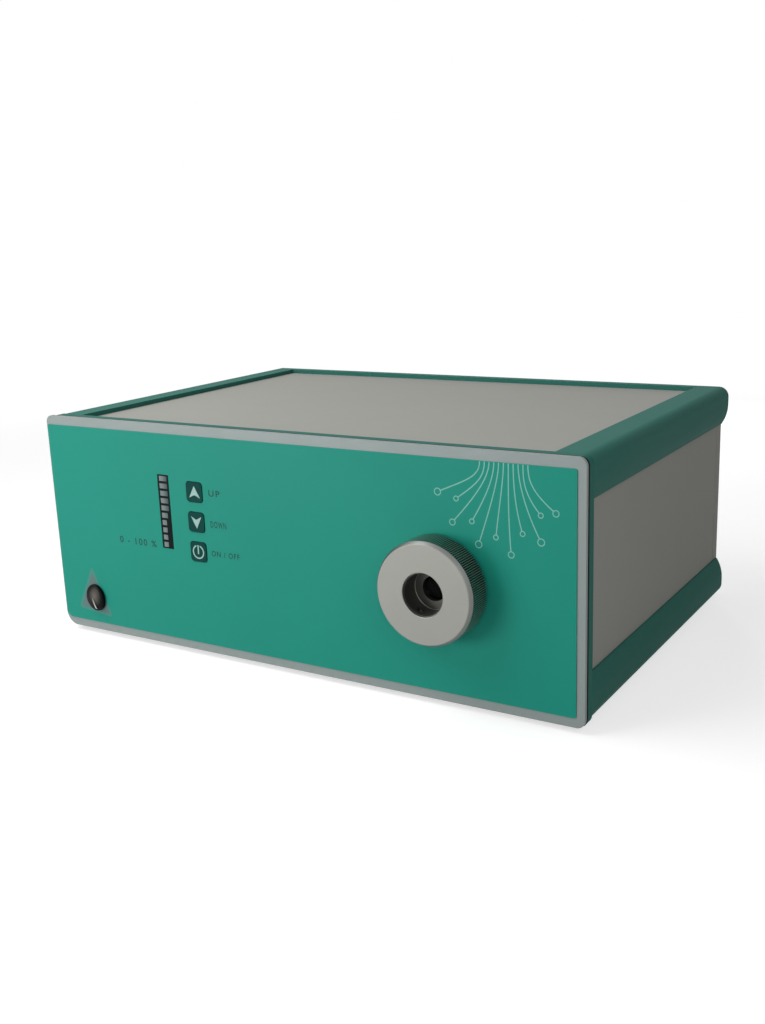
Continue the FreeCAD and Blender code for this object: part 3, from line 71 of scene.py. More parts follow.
# the collar's own sizes, which its finish reads too
collarShape = {
    "teeth": 148,
    "sidesPerTooth": 4,
    "faceRadius": 23.6,
    "outerRadius": 24.8,
    "holeRadius": 10.4,
    "innerRadius": 16.0,
    "lip": 1.0,
    "edge": 0.25,
    "corner": 0.12,
    "chamfer": 1.8,
    "chamferRound": (0.1, 0.15),
    "land": 0.3,
    "knurlLead": 0.35,
    "toothDeep": 0.6,
    "toothSteps": ((-1, 0.1, 1), (0.1, 0.4, 0.55)),  # from and to in pitches, share of the depth
    "backRound": 0.8,
    "rootStep": 0.5,
}


# shader building

class Wire:
    # one socket of a material, usable in plain sums
    def __init__(self, recipe, socket):
        self.recipe = recipe
        self.socket = socket

    def joined(self, operation, left, right=0.0):
        return self.recipe.join(operation, left, right)

    def __add__(self, other):
        return self.joined("ADD", self, other)

    def __radd__(self, other):
        return self.joined("ADD", other, self)

    def __sub__(self, other):
        return self.joined("SUBTRACT", self, other)

    def __rsub__(self, other):
        return self.joined("SUBTRACT", other, self)

    def __mul__(self, other):
        return self.joined("MULTIPLY", self, other)

    def __truediv__(self, other):
        return self.joined("DIVIDE", self, other)

    def __abs__(self):
        return self.joined("ABSOLUTE", self)


class Recipe:
    # the nodes of one material, or of the world, and the one way that they are made
    def __init__(self, owner):
        self.owner = owner
        owner.use_nodes = True
        self.tree = owner.node_tree
        self.tree.nodes.clear()

    def add(self, kind, settings=None, sockets=None, output=0):
        made = self.tree.nodes.new(kind)
        for setting, value in (settings or {}).items():
            if setting == "stops":
                self.setStops(made.color_ramp, value)
            else:
                setattr(made, setting, value)
        for socket, value in (sockets or {}).items():
            if isinstance(value, Wire):
                self.tree.links.new(value.socket, made.inputs[socket])
            else:
                made.inputs[socket].default_value = value
        return Wire(self, made.outputs[output]) if made.outputs else None

    def join(self, operation, left, right=0.0):
        return self.add("ShaderNodeMath", {"operation": operation}, {0: left, 1: right})

    def setStops(self, ramp, stops):
        while len(ramp.elements) < len(stops):
            ramp.elements.new(0.5)
        for element, (place, color) in zip(ramp.elements, stops):
            element.position = place
            element.color = color

    def place(self, scale=(1, 1, 1), centre=(0, 0, 0)):
        # object coordinates in millimetres from a centre, stretched by scale
        spot = self.add("ShaderNodeTexCoord", output=3)
        size = [value / mm for value in scale]
        shift = [-middle * stretch for middle, stretch in zip(centre, scale)]
        return self.add("ShaderNodeMapping", {}, {"Vector": spot, "Scale": size, "Location": shift})

    def noise(self, scale, detail, stretch=(1, 1, 1)):
        where = self.place(stretch)
        return self.add("ShaderNodeTexNoise", {}, {"Vector": where, "Scale": scale, "Detail": detail})

    def blend(self, factor, first, second):
        return self.add("ShaderNodeMix", {"data_type": "RGBA"}, {0: factor, 6: first, 7: second}, 2)

    def between(self, value, low, high):
        # 0 at low and 1 at high, with a straight rise and no overshoot
        return self.add("ShaderNodeMapRange", {"clamp": True},
                        {"Value": value, "From Min": low, "From Max": high})

    def part(self, vector, axis):
        return self.add("ShaderNodeSeparateXYZ", {}, {0: vector}, "xyz".index(axis))

    def length(self, vector):
        return self.add("ShaderNodeVectorMath", {"operation": "LENGTH"}, {0: vector}, 1)

    def ramp(self, factor, stops):
        return self.add("ShaderNodeValToRGB", {"stops": stops}, {0: factor})

    def bump(self, height, strength, distance):
        return self.add("ShaderNodeBump", {}, {"Strength": strength, "Distance": distance * mm,
                                               "Height": height})

    def surface(self, sockets):
        shader = self.add("ShaderNodeBsdfPrincipled", {}, sockets)
        self.add("ShaderNodeOutputMaterial", {}, {"Surface": shader})
        return self.owner


def newRecipe(name):
    return Recipe(bpy.data.materials.new(name))


def tint(red, green, blue):
    # a colour written as on a screen, 0 to 255, turned into the linear values that a socket takes
    parts = []
    for level in (red, green, blue):
        level = level / 255
        parts.append(level / 12.92 if level <= 0.04045 else ((level + 0.055) / 1.055) ** 2.4)
    return (*parts, 1.0)


def shade(color, factor):
    return (color[0] * factor, color[1] * factor, color[2] * factor, 1.0)


# finishes

paintSettings = {
    "grain": 1.3,
    "grainDepth": 0.012,
    "cloud": 0.02,
    "cloudDepth": 0.07,
    # the gap keys set the painted shade in the gap behind the front plate
    "gapDeep": 3.0,
    "gapEdge": 0.3,
    "gapShade": 0.1,
}


def paintedFinish(name, color, roughness, specular=0.3, grainDepth=None, gapEnd=None):
    # powder coat: fine orange peel, faint clouding and duller patches, and painted shade darkening the gap
    # before gapEnd
    recipe = newRecipe(name)
    grain = recipe.noise(paintSettings["grain"], 3.0)
    cloud = recipe.noise(paintSettings["cloud"], 4.0)
    depth = paintSettings["cloudDepth"]
    base = recipe.blend(cloud, shade(color, 1 - depth), shade(color, 1 + depth))
    if gapEnd is not None:
        # painted shade: the paint goes dark in the gap behind the front plate, where shadow falls
        shadeInGap = recipe.between(recipe.part(recipe.place(), "y"), gapEnd, gapEnd - paintSettings["gapEdge"])
        base = recipe.blend(shadeInGap, base, shade(color, paintSettings["gapShade"]))
    height = grainDepth or paintSettings["grainDepth"]
    return recipe.surface({
        "Base Color": base,
        "Roughness": roughness - 0.06 + cloud * 0.12,
        "Specular IOR Level": specular,
        "Normal": recipe.bump(grain, 0.6, height),
    })


def overlayFinish():
    # screen-printed polyester sheet with a fine matt texture
    recipe = newRecipe("overlayPolyester")
    fine = recipe.noise(5.0, 2.0)
    cloud = recipe.noise(0.012, 3.0)
    green = tint(22, 136, 119)
    base = recipe.blend(cloud, shade(green, 0.94), shade(green, 1.06))
    return recipe.surface({
        "Base Color": base,
        "Roughness": 0.46 + fine * 0.1,
        "Specular IOR Level": 0.16,
        "Normal": recipe.bump(fine, 0.5, 0.006),
    })


def brushedFinish(name, color, along, roughness, metallic=1.0):
    # fine parallel scratches along one axis, with handling smudges
    recipe = newRecipe(name)
    stretch = [0.02 if axis == along else 1.0 for axis in "xyz"]
    lines = recipe.noise(6.0, 3.0, stretch)
    smudge = recipe.noise(0.05, 4.0)
    base = recipe.blend(lines, shade(color, 0.9), shade(color, 1.08))
    return recipe.surface({
        "Base Color": base,
        "Metallic": metallic,
        "Roughness": roughness - 0.06 + smudge * 0.16,
        "Normal": recipe.bump(lines, 0.35, 0.01),
    })


def fromPortAxis(recipe):
    # the distance in millimetres from the axis of the light guide port
    return recipe.length(recipe.place((1, 0, 1), (portX, 0, portZ)))


def latheMarks(recipe):
    # cutting marks about the port's axis: rings on the faces and along the walls
    distance = fromPortAxis(recipe)
    along = recipe.part(recipe.place(), "y")
    return recipe.add("ShaderNodeTexNoise", {"noise_dimensions": "1D"},
                      {"W": (distance + along) * 4.0, "Scale": 1.0, "Detail": 3.0})


def turnedFinish(name, color, roughness, metallic):
    recipe = newRecipe(name)
    rings = latheMarks(recipe)
    smudge = recipe.noise(0.08, 4.0)
    base = recipe.blend(rings, shade(color, 0.88), shade(color, 1.1))
    return recipe.surface({
        "Base Color": base,
        "Metallic": metallic,
        "Roughness": roughness + rings * 0.1 + smudge * 0.1,
        "Normal": recipe.bump(rings, 0.3, 0.01),
    })


collarLook = {
    "sideFrom": 0.15,
    "sideTo": 0.6,
    "knurlEdge": 0.2,
    "crestFrom": 0.4,
    "crestTo": 0.05,
}


def collarFinish():
    # a matt faced front, a smoother chamfer in a darker copy of the face's colour as painted shade, and
    # rolled knurl teeth with crests bright from wear and painted highlight, roots dark from oxide and
    # painted shade
    recipe = newRecipe("collarSteel")
    rings = latheMarks(recipe)
    smudge = recipe.noise(0.08, 4.0)
    depth = recipe.part(recipe.place(), "y") - collarLow.y
    side = recipe.between(depth, collarLook["sideFrom"], collarLook["sideTo"])
    knurlFrom = collarShape["chamfer"] + collarShape["land"]
    knurl = recipe.between(depth, knurlFrom, knurlFrom + collarLook["knurlEdge"])
    outer, radius = collarShape["outerRadius"], fromPortAxis(recipe)
    # tooth crests painted bright as wear and painted highlight, roots dark as oxide and painted shade
    crestWearAndHighlight = recipe.between(radius, outer - collarLook["crestFrom"], outer - collarLook["crestTo"])
    # the chamfer's tint is a darker, greener copy of the face's, a painted shade and painted reflection of
    # the green overlay
    face, chamfer = tint(132, 132, 127), tint(118, 120, 118)
    dull = recipe.blend(side, shade(face, 0.9), shade(chamfer, 0.85))
    bright = recipe.blend(side, shade(face, 1.1), shade(chamfer, 1.15))
    teeth = recipe.blend(crestWearAndHighlight, tint(64, 76, 71), tint(184, 194, 186))
    marks = rings * (1.0 - knurl)
    return recipe.surface({
        "Base Color": recipe.blend(knurl, recipe.blend(rings, dull, bright), teeth),
        "Metallic": 1.0,
        "Roughness": 0.5 - side * 0.2 + marks * 0.08 + smudge * 0.06 + knurl * 0.08,
        "Normal": recipe.bump(marks, 0.3, 0.01),
    })


def mouldedFinish(name, color, roughness=0.5, specular=0.35, sparkle=2.2, depth=0.02):
    # spark-eroded plastic grain with slightly shiny peaks
    recipe = newRecipe(name)
    grain = recipe.noise(sparkle, 2.0)
    cloud = recipe.noise(0.05, 3.0)
    base = recipe.blend(cloud, shade(color, 0.85), shade(color, 1.15))
    return recipe.surface({
        "Base Color": base,
        "Roughness": roughness - 0.08 + grain * 0.16,
        "Specular IOR Level": specular,
        "Normal": recipe.bump(grain, 0.5, depth),
    })


def inkFinish(name, color):
    # a thin printed layer, a little uneven in density
    recipe = newRecipe(name)
    density = recipe.noise(2.5, 3.0)
    base = recipe.blend(density, shade(color, 0.86), shade(color, 1.12))
    return recipe.surface({
        "Base Color": base,
        "Roughness": 0.5 + density * 0.08,
        "Specular IOR Level": 0.2,
        "Normal": recipe.bump(density, 0.3, 0.004),
    })


def glassFinish(name, color, mirror=1.0):
    # clear glass; a low mirror value is an anti-reflection coating
    recipe = newRecipe(name)
    coating = recipe.noise(0.2, 2.0)
    base = recipe.blend(coating, color, shade(color, 0.9))
    return recipe.surface({
        "Base Color": base,
        "Roughness": 0.02 + coating * 0.03,
        "Transmission Weight": 1.0,
        "IOR": 1.5,
        "Specular Tint": (mirror, mirror, mirror, 1.0),
    })


def boardFinish():
    # solder mask over copper tracks that run along X and Y
    recipe = newRecipe("solderMask")
    where = recipe.place((0.35, 0.35, 0.35))
    cells = recipe.add("ShaderNodeTexVoronoi", {"distance": "CHEBYCHEV", "feature": "F1"},
                       {"Vector": where, "Scale": 1.0})
    tracks = recipe.ramp(cells, [(0.0, (0, 0, 0, 1)), (0.42, (0, 0, 0, 1)), (0.46, (1, 1, 1, 1)),
                                 (0.55, (1, 1, 1, 1)), (0.6, (0, 0, 0, 1))])
    green = tint(22, 92, 48)
    base = recipe.blend(tracks, shade(green, 0.75), shade(green, 1.35))
    return recipe.surface({
        "Base Color": base,
        "Roughness": 0.34,
        "Normal": recipe.bump(tracks, 0.4, 0.03),
    })


def emitterFinish():
    # phosphor dots under clear silicone
    recipe = newRecipe("ledPhosphor")
    where = recipe.place((0.6, 0.6, 0.6))
    dots = recipe.add("ShaderNodeTexVoronoi", {"feature": "F1"}, {"Vector": where, "Scale": 1.0})
    base = recipe.blend(dots, tint(236, 200, 70), tint(248, 232, 150))
    return recipe.surface({"Base Color": base, "Roughness": 0.15 + dots * 0.1})


knobLook = {
    "lean": 12,
    "crownWide": 5.6,
    "crownTall": 7.4,
    "crownUp": 0.9,
    "crownSide": 1.2,
    "crownNarrow": 0.05,
    "sheenFrom": 0.82,
    "sheenFull": 0.15,
    "lineHalf": 0.42,
    "lineEdge": 0.2,
    "lineTop": 0.8,
    "lineBright": -3.6,
    "lineLow": -6.3,
    "lineEnd": 0.25,
}


def knobFinish():
    # glossy moulding, painted lighter grey on its egg-shaped crown as a painted sheen and left black
    # towards the rim as painted shade, with a pale pointer line that fades out upwards
    recipe = newRecipe("pointerKnob")
    where = recipe.place((1, 0, 1), (selectorSpot[0], 0, selectorSpot[1]))
    turned = recipe.add("ShaderNodeVectorRotate", {"rotation_type": "Y_AXIS"},
                        {"Vector": where, "Angle": math.radians(knobLook["lean"])})
    across = recipe.part(turned, "x")
    along = recipe.part(turned, "z")
    halfWide = along * knobLook["crownNarrow"] + knobLook["crownWide"]
    shareAcross = (across - knobLook["crownSide"]) / halfWide
    shareAlong = (along - knobLook["crownUp"]) / knobLook["crownTall"]
    shares = recipe.add("ShaderNodeCombineXYZ", {}, {0: shareAcross, 2: shareAlong})
    grain = recipe.noise(3.0, 3.0)
    fromCrown = recipe.length(shares) + grain * 0.1
    # painted sheen: black at the rim going over to grey on the crown, as a lit dome looks
    crownSheen = recipe.between(fromCrown, knobLook["sheenFrom"], knobLook["sheenFull"])
    body = recipe.blend(crownSheen, tint(6, 7, 7), tint(98, 94, 88))
    half, edge = knobLook["lineHalf"], knobLook["lineEdge"]
    line = recipe.between(abs(across), half + edge, half - edge)
    low = recipe.between(along, knobLook["lineTop"], knobLook["lineBright"])
    tail, fade = knobLook["lineLow"], knobLook["lineEnd"]
    end = recipe.between(along, tail - fade, tail + fade)
    base = recipe.blend(line * low * end, body, tint(206, 204, 196))
    return recipe.surface({
        "Base Color": base,
        "Roughness": 0.3 + grain * 0.12,
        "Specular IOR Level": 0.08,
        "Normal": recipe.bump(grain, 0.3, 0.004),
    })


def diffuserFinish():
    # unlit milky bars, darker towards the right
    recipe = newRecipe("levelDiffuser")
    grain = recipe.noise(3.0, 2.0)
    low, high = boxOf("level_segments")
    across = recipe.between(recipe.part(recipe.place(), "x"), low.x + 1.5, high.x)
    base = recipe.blend(across, tint(118, 130, 130), tint(58, 74, 74))
    return recipe.surface({
        "Base Color": base,
        "Roughness": 0.34 + grain * 0.1,
        "Specular IOR Level": 0.1,
        "Normal": recipe.bump(grain, 0.4, 0.01),
    })


# where the frame's painted shade in the gap behind the plate ends
gapEnd = frameFront + paintSettings["gapDeep"]
finishes = {
    "bare_aluminium": brushedFinish("plateEdge", tint(130, 140, 138), "x", 0.5, 0.15),
    "green_overlay": overlayFinish(),
    "green_casting": paintedFinish("frameEnamel", tint(28, 100, 88), 0.55, 0.06, gapEnd=gapEnd),
    "green_rail": paintedFinish("railEnamel", tint(53, 112, 101), 0.58, 0.04),
    "grey_panel": paintedFinish("panelCoat", tint(164, 164, 158), 0.6, 0.1, 0.02),
    "zinc_steel": brushedFinish("zincPlate", tint(180, 178, 168), "z", 0.36),
    "zinc_sheet": brushedFinish("zincSheet", tint(168, 170, 170), "y", 0.42),
    "foot_rubber": mouldedFinish("footRubber", tint(30, 30, 30), 0.78, 0.2, 1.4, 0.05),
    "collar_metal": collarFinish(),
    "socket_metal": turnedFinish("socketSteel", tint(88, 88, 84), 0.3, 0.85),
    "pin_steel": brushedFinish("pinSteel", tint(200, 200, 198), "y", 0.16),
    "black_metal": turnedFinish("blackAnodised", tint(28, 28, 28), 0.45, 0.4),
    # the lens glass is tinted grey, a painted shade that darkens the look into the bore
    "lens_glass": glassFinish("lensGlass", (0.5, 0.55, 0.57, 1.0), 0.15),
    "led_board_white": paintedFinish("ledBoard", tint(226, 226, 220), 0.4),
    "led_yellow": emitterFinish(),
    "sink_metal": brushedFinish("extrudedFins", tint(176, 178, 180), "y", 0.4),
    "black_plastic": mouldedFinish("mouldedBlack", tint(30, 30, 31)),
    "guard_wire": brushedFinish("guardWire", tint(196, 196, 194), "z", 0.18),
    "key_green": mouldedFinish("keyCap", tint(8, 62, 57), 0.5, 0.06, 4.0, 0.008),
    "board_green": boardFinish(),
    "level_black": mouldedFinish("levelWindow", tint(13, 20, 20), 0.3, 0.05, 1.0, 0.004),
    "level_lens": diffuserFinish(),
    "knob_black": knobFinish(),
    "part_black": mouldedFinish("partBlack", tint(42, 42, 46), 0.35),
    "pin_brass": brushedFinish("contactBrass", tint(196, 176, 120), "y", 0.3),
    "fuse_glass": glassFinish("fuseGlass", (0.9, 0.94, 0.94, 1.0)),
    "rocker_black": mouldedFinish("rockerGloss", tint(24, 24, 24), 0.28, 0.45, 2.0, 0.006),
    "wire_grey": mouldedFinish("wireSleeve", tint(62, 62, 64), 0.6, 0.3, 0.8, 0.03),
}
slotOf = {part["node"]: part["material_slot"] for part in frame["record"]["subparts"]}
for node, piece in frame["nodes"].items():
    for index in range(len(piece.material_slots)):
        piece.material_slots[index].material = finishes[slotOf[node]]
print("finishes given to", len(frame["nodes"]), "solids")


# modelling helpers

def startPiece():
    if bpy.context.object and bpy.context.object.mode != "OBJECT":
        bpy.ops.object.mode_set(mode="OBJECT")
    bpy.ops.object.select_all(action="DESELECT")


def spot(x, y, z):
    return (x * mm, y * mm, z * mm)


def selectVertices(test):
    # in edit mode, selects the vertices whose place in millimetres passes the test
    shape = bpy.context.edit_object
    net = bmesh.from_edit_mesh(shape.data)
    toWorld = shape.matrix_world
    for vertex in net.verts:
        vertex.select = bool(test(toWorld @ vertex.co / mm))
    net.select_flush(True)
    bmesh.update_edit_mesh(shape.data)


def selectFaces(test):
    # in edit mode, selects the faces whose middle and normal pass the test
    shape = bpy.context.edit_object
    net = bmesh.from_edit_mesh(shape.data)
    bpy.ops.mesh.select_all(action="DESELECT")
    turn = shape.matrix_world.to_3x3()
    for face in net.faces:
        middle = shape.matrix_world @ face.calc_center_median() / mm
        face.select_set(bool(test(middle, turn @ face.normal)))
    bmesh.update_edit_mesh(shape.data)


def finishPiece(name, body, slotName, smoothAngle, material=None):
    # leaves edit mode, puts the place into the mesh, smooths, paints and hangs the piece on its body
    if bpy.context.object.mode != "OBJECT":
        bpy.ops.object.mode_set(mode="OBJECT")
    piece = bpy.context.object
    piece.name = name
    piece.data.name = name
    bpy.ops.object.transform_apply(location=True, rotation=True, scale=True)
    if smoothAngle:
        bpy.ops.object.shade_smooth_by_angle(angle=math.radians(smoothAngle))
    piece.data.materials.clear()
    piece.data.materials.append(material or finishes[slotName])
    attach(piece, body)
    return piece


def turnPiece(centre, profile, count, closed=True):
    # a turned shape about an axis along Y: a circle extruded ring by ring through (radius, y)
    startPiece()
    radius, y = profile[0]
    bpy.ops.mesh.primitive_circle_add(vertices=count, radius=radius * mm, fill_type="NOTHING",
                                      location=spot(centre[0], y, centre[1]),
                                      rotation=(math.pi / 2, 0, 0))
    bpy.ops.object.mode_set(mode="EDIT")
    bpy.ops.mesh.select_all(action="SELECT")
    if closed:
        bpy.ops.mesh.edge_face_add()
    for newRadius, newY in profile[1:]:
        bpy.ops.mesh.extrude_region_move(
            TRANSFORM_OT_translate={"value": (0, (newY - y) * mm, 0), "orient_type": "GLOBAL"})
        grow = newRadius / radius
        bpy.ops.transform.resize(value=(grow, 1, grow), orient_type="GLOBAL",
                                 center_override=spot(centre[0], newY, centre[1]))
        radius, y = newRadius, newY
    if closed:
        bpy.ops.mesh.edge_face_add()
    bpy.ops.mesh.select_all(action="SELECT")
    bpy.ops.mesh.remove_doubles(threshold=0.0001 * mm)
    bpy.ops.mesh.normals_make_consistent(inside=False)


def angleAt(place, centre):
    return math.degrees(math.atan2(place.z - centre[1], place.x - centre[0])) % 360


# knurled collar of the light guide port

def makeCollar():
    shape = collarShape
    front, back = collarLow.y, collarHigh.y
    hole, inner = shape["holeRadius"], shape["innerRadius"]
    face, outer = shape["faceRadius"], shape["outerRadius"]
    edge, corner = shape["edge"], shape["corner"]
    chamferEnd = front + shape["chamfer"]
    roundBefore, roundAfter = shape["chamferRound"]
    knurlFrom = chamferEnd + shape["land"]
    root = outer - shape["toothDeep"]
    profile = [
        (inner, front + shape["lip"]),
        (hole, front + shape["lip"]),
        (hole, front + edge),
        (hole + edge, front),
        (face - edge, front),
        (face, front + corner),
        (outer - corner, chamferEnd - roundBefore),
        (outer, chamferEnd + roundAfter),
        (outer, knurlFrom),
        (outer, knurlFrom + shape["knurlLead"]),
        (outer, back - shape["backRound"]),
        (root - shape["rootStep"], back),
        (inner, back),
    ]
    centre = (portX, portZ)
    turnPiece(centre, profile, shape["teeth"] * shape["sidesPerTooth"], closed=False)
    pitch = 360 / shape["teeth"]

    def onKnurl(place, low, high):
        onOutside = math.hypot(place.x - portX, place.z - portZ) > outer - 0.05
        fromRoot = abs((angleAt(place, centre) / pitch + 0.5) % 1 - 0.5)
        return onOutside and place.y > knurlFrom + 0.1 and low < fromRoot < high

    for low, high, sunk in shape["toothSteps"]:
        selectVertices(lambda place: onKnurl(place, low, high))
        shrink = 1 - shape["toothDeep"] * sunk / outer
        bpy.ops.transform.resize(value=(shrink, 1, shrink), orient_type="GLOBAL",
                                 center_override=spot(portX, front, portZ))
    collar = finishPiece("knurledCollar", "collar", "collar_metal", 25)
    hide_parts("guide_collar")


makeCollar()

seatShape = {
    "sides": 96,
    "front": -107.8,
    "lap": 0.02,
    "radius": 9.97,
    "rim": 0.15,
    "tall": 0.2,
    "slope": 0.04,
    "slopeTall": 0.1,
}


def makeSeat():
    # a thin rim at the foot of the bore, pale partly as the rim's own bright metal and partly as a painted
    # highlight along the step's edge
    shape = seatShape
    back = shape["front"] + shape["lap"]
    outer, inner = shape["radius"], shape["radius"] - shape["rim"]
    profile = [
        (inner, back),
        (outer, back),
        (outer, back - shape["tall"]),
        (inner + shape["slope"], back - shape["slopeTall"]),
        (inner, back),
    ]
    turnPiece((portX, portZ), profile, shape["sides"], closed=False)
    # pale steel: partly the rim's own colour, partly a painted highlight on the step's edge
    rimMetalAndHighlight = brushedFinish("seatRim", tint(150, 150, 145), "y", 0.5)
    finishPiece("boreSeat", "case", "socket_metal", 25, rimMetalAndHighlight)


makeSeat()
print("collar knurled")


# printing on the overlay

inks = {
    "pale": inkFinish("paleInk", tint(126, 184, 171)),
    "symbol": inkFinish("symbolInk", tint(152, 186, 180)),
    "dark": inkFinish("darkInk", tint(12, 66, 58)),
    "grey": inkFinish("greyInk", tint(90, 116, 114)),
    "halo": inkFinish("haloInk", tint(66, 132, 121)),
    "white": inkFinish("whiteInk", tint(214, 214, 210)),
}
printProud = 0.03


def centreOf(corners):
    return sum(x for x, z in corners) / len(corners), sum(z for x, z in corners) / len(corners)


def thicken(name, body, slotName, ink):
    # gives the flat patch in edit mode its thickness, outwards from the surface
    bpy.ops.mesh.select_all(action="SELECT")
    bpy.ops.mesh.extrude_region_move(TRANSFORM_OT_translate={"value": (0, -printProud * mm, 0)})
    bpy.ops.mesh.select_all(action="SELECT")
    bpy.ops.mesh.normals_make_consistent(inside=False)
    return finishPiece(name, body, slotName, 0, inks[ink])


def printPatch(name, corners, body, ink, y, slotName, rounding):
    # a flat printed patch: the corners of a filled circle are moved to their places and rounded
    startPiece()
    middle = centreOf(corners)
    bpy.ops.mesh.primitive_circle_add(vertices=len(corners), radius=mm, fill_type="NGON",
                                      location=spot(middle[0], y, middle[1]), rotation=(math.pi / 2, 0, 0))
    bpy.ops.object.transform_apply(location=True, rotation=True, scale=True)
    rough = [vertex.co.copy() / mm for vertex in bpy.context.object.data.vertices]
    bpy.ops.object.mode_set(mode="EDIT")
    bpy.ops.mesh.select_mode(type="VERT")
    for old, (x, z) in zip(rough, corners):
        bpy.ops.mesh.select_all(action="DESELECT")
        selectVertices(lambda place: (place - old).length < 0.01)
        bpy.ops.transform.translate(value=spot(x - old.x, 0, z - old.z))
    bpy.ops.mesh.select_all(action="SELECT")
    bpy.ops.mesh.bevel(offset=rounding * mm, segments=5, affect="VERTICES")
    return thicken(name, body, slotName, ink)


def printRing(name, centre, radius, wide, gap, body, ink, y, slotName):
    # a circle inset to a ring, open at its top by gap degrees either way
    startPiece()
    bpy.ops.mesh.primitive_circle_add(vertices=72, radius=radius * mm, fill_type="NGON",
                                      location=spot(centre[0], y, centre[1]), rotation=(math.pi / 2, 0, 0))
    bpy.ops.object.mode_set(mode="EDIT")
    bpy.ops.mesh.select_all(action="SELECT")
    bpy.ops.mesh.inset(thickness=wide * mm)
    inner = radius - wide

    def cutAway(place, normal):
        offset = Vector((place.x - centre[0], place.z - centre[1]))
        fromTop = abs((angleAt(place, centre) + 90) % 360 - 180)
        return offset.length < inner * 0.5 or fromTop < gap

    selectFaces(cutAway)
    bpy.ops.mesh.delete(type="FACE")
    return thicken(name, body, slotName, ink)


lettering = {"sizePerHeight": 1.42, "swell": 0.06, "spacing": 1.25}


def printWords(name, words, low, wide, tall):
    # lettering as thin ink on the overlay, its lower left end at (x, z), drawn out to its full width
    startPiece()
    bpy.ops.object.text_add(location=(0, 0, 0), rotation=(math.pi / 2, 0, 0))
    text = bpy.context.object
    text.data.body = words
    text.data.size = tall * lettering["sizePerHeight"] * mm
    text.data.offset = lettering["swell"] * mm
    text.data.extrude = printProud * mm / 2
    text.data.space_character = lettering["spacing"]
    bpy.ops.object.convert(target="MESH")
    text = bpy.context.object
    text.scale.x = wide * mm / text.dimensions.x
    text.location = spot(low[0], foilFace - printProud / 2, low[1])
    return finishPiece(name, "case", "green_overlay", 0, inks["dark"])


def printLine(name, points, wide, closed=False):
    # one drawn line: a smooth curve through or near (x, z) points, pressed flat on the overlay
    startPiece()
    bpy.ops.curve.primitive_nurbs_path_add(location=(0, 0, 0))
    path = bpy.context.object.data
    path.splines.clear()
    line = path.splines.new("NURBS")
    line.points.add(len(points) - 1)
    for point, (x, z) in zip(line.points, points):
        point.co = (*spot(x, foilFace, z), 1)
    line.order_u = min(4, len(points))
    line.use_endpoint_u = not closed
    line.use_cyclic_u = closed
    line.resolution_u = 5
    path.bevel_depth = wide * mm / 2
    path.bevel_resolution = 1
    path.use_fill_caps = not closed
    bpy.ops.object.convert(target="MESH")
    bpy.ops.object.mode_set(mode="EDIT")
    bpy.ops.mesh.select_all(action="SELECT")
    bpy.ops.transform.resize(value=(1, 2 * printProud / wide, 1), orient_type="GLOBAL",
                             center_override=spot(0, foilFace, 0))
    return finishPiece(name, "case", "green_overlay", 40, inks["pale"])


def joinPieces(pieces, name):
    startPiece()
    for piece in pieces:
        piece.select_set(True)
    bpy.context.view_layer.objects.active = pieces[0]
    bpy.ops.object.join()
    pieces[0].name = name
    pieces[0].data.name = name
    return pieces[0]


keySymbols = {
    "up": [(0.2, 3.3), (3.8, -3.0), (0.2, -1.5), (-3.4, -3.1)],
    "down": [(0.3, -3.5), (-3.2, 3.0), (0.1, 1.3), (3.7, 3.1)],
    "ringRadius": 3.8,
    "ringWide": 0.75,
    "ringGap": 18,
    "barTop": 3.7,
    "barLow": -1.2,
    "barWide": 0.8,
    "rounding": 0.15,
}


def printArrow(name, node, body, corners):
    x, z = middleOf(node)
    placed = [(x + dx, z + dz) for dx, dz in corners]
    face = boxOf(node)[0].y
    printPatch(name, placed, body, "symbol", face, "key_green", keySymbols["rounding"])


def printPower():
    # an open ring with a bar in its gap
    x, z = middleOf("power_key")
    face = boxOf("power_key")[0].y
    ring = printRing("powerRing", (x, z), keySymbols["ringRadius"], keySymbols["ringWide"],
                     keySymbols["ringGap"], "power_button", "symbol", face, "key_green")
    half = keySymbols["barWide"] / 2
    corners = [(x - half, z + keySymbols["barLow"]), (x + half, z + keySymbols["barLow"]),
               (x + half, z + keySymbols["barTop"]), (x - half, z + keySymbols["barTop"])]
    bar = printPatch("powerBar", corners, "power_button", "symbol", face, "key_green",
                     keySymbols["rounding"])
    joinPieces([ring, bar], "powerSymbol")


printArrow("upArrow", "up_key", "up_button", keySymbols["up"])
printArrow("downArrow", "down_key", "down_button", keySymbols["down"])
printPower()
print("key symbols printed")

labels = {
    "labelUp": ("UP", (-46.0, 89.4), 7.4, 3.3),
    "labelDown": ("DOWN", (-46.0, 72.8), 10.4, 3.4),
    "labelPower": ("ON / OFF", (-46.6, 57.4), 18.4, 2.9),
    "labelLevel": ("0 - 100 %", (-111.3, 57.5), 26.6, 3.6),
}
for labelName, (words, low, wide, tall) in labels.items():
    printWords(labelName, words, low, wide, tall)

selectorField = {
    "corners": [(-135.5, 40.2), (-122.2, 11.9), (-148.2, 14.6)],
    "inner": 0.84,
    "rounding": 2.2,
    "innerRounding": 0.7,
}


def printSelectorField():
    # a grey triangle with a paler, wider one under it
    corners, share = selectorField["corners"], selectorField["inner"]
    rounding = selectorField["rounding"]
    middle = centreOf(corners)
    inner = [(middle[0] + (x - middle[0]) * share, middle[1] + (z - middle[1]) * share) for x, z in corners]
    printPatch("selectorHalo", corners, "case", "halo", foilFace, "green_overlay", rounding)
    printPatch("selectorTriangle", inner, "case", "grey", foilFace - printProud, "green_overlay",
               rounding * selectorField["innerRounding"])


printSelectorField()

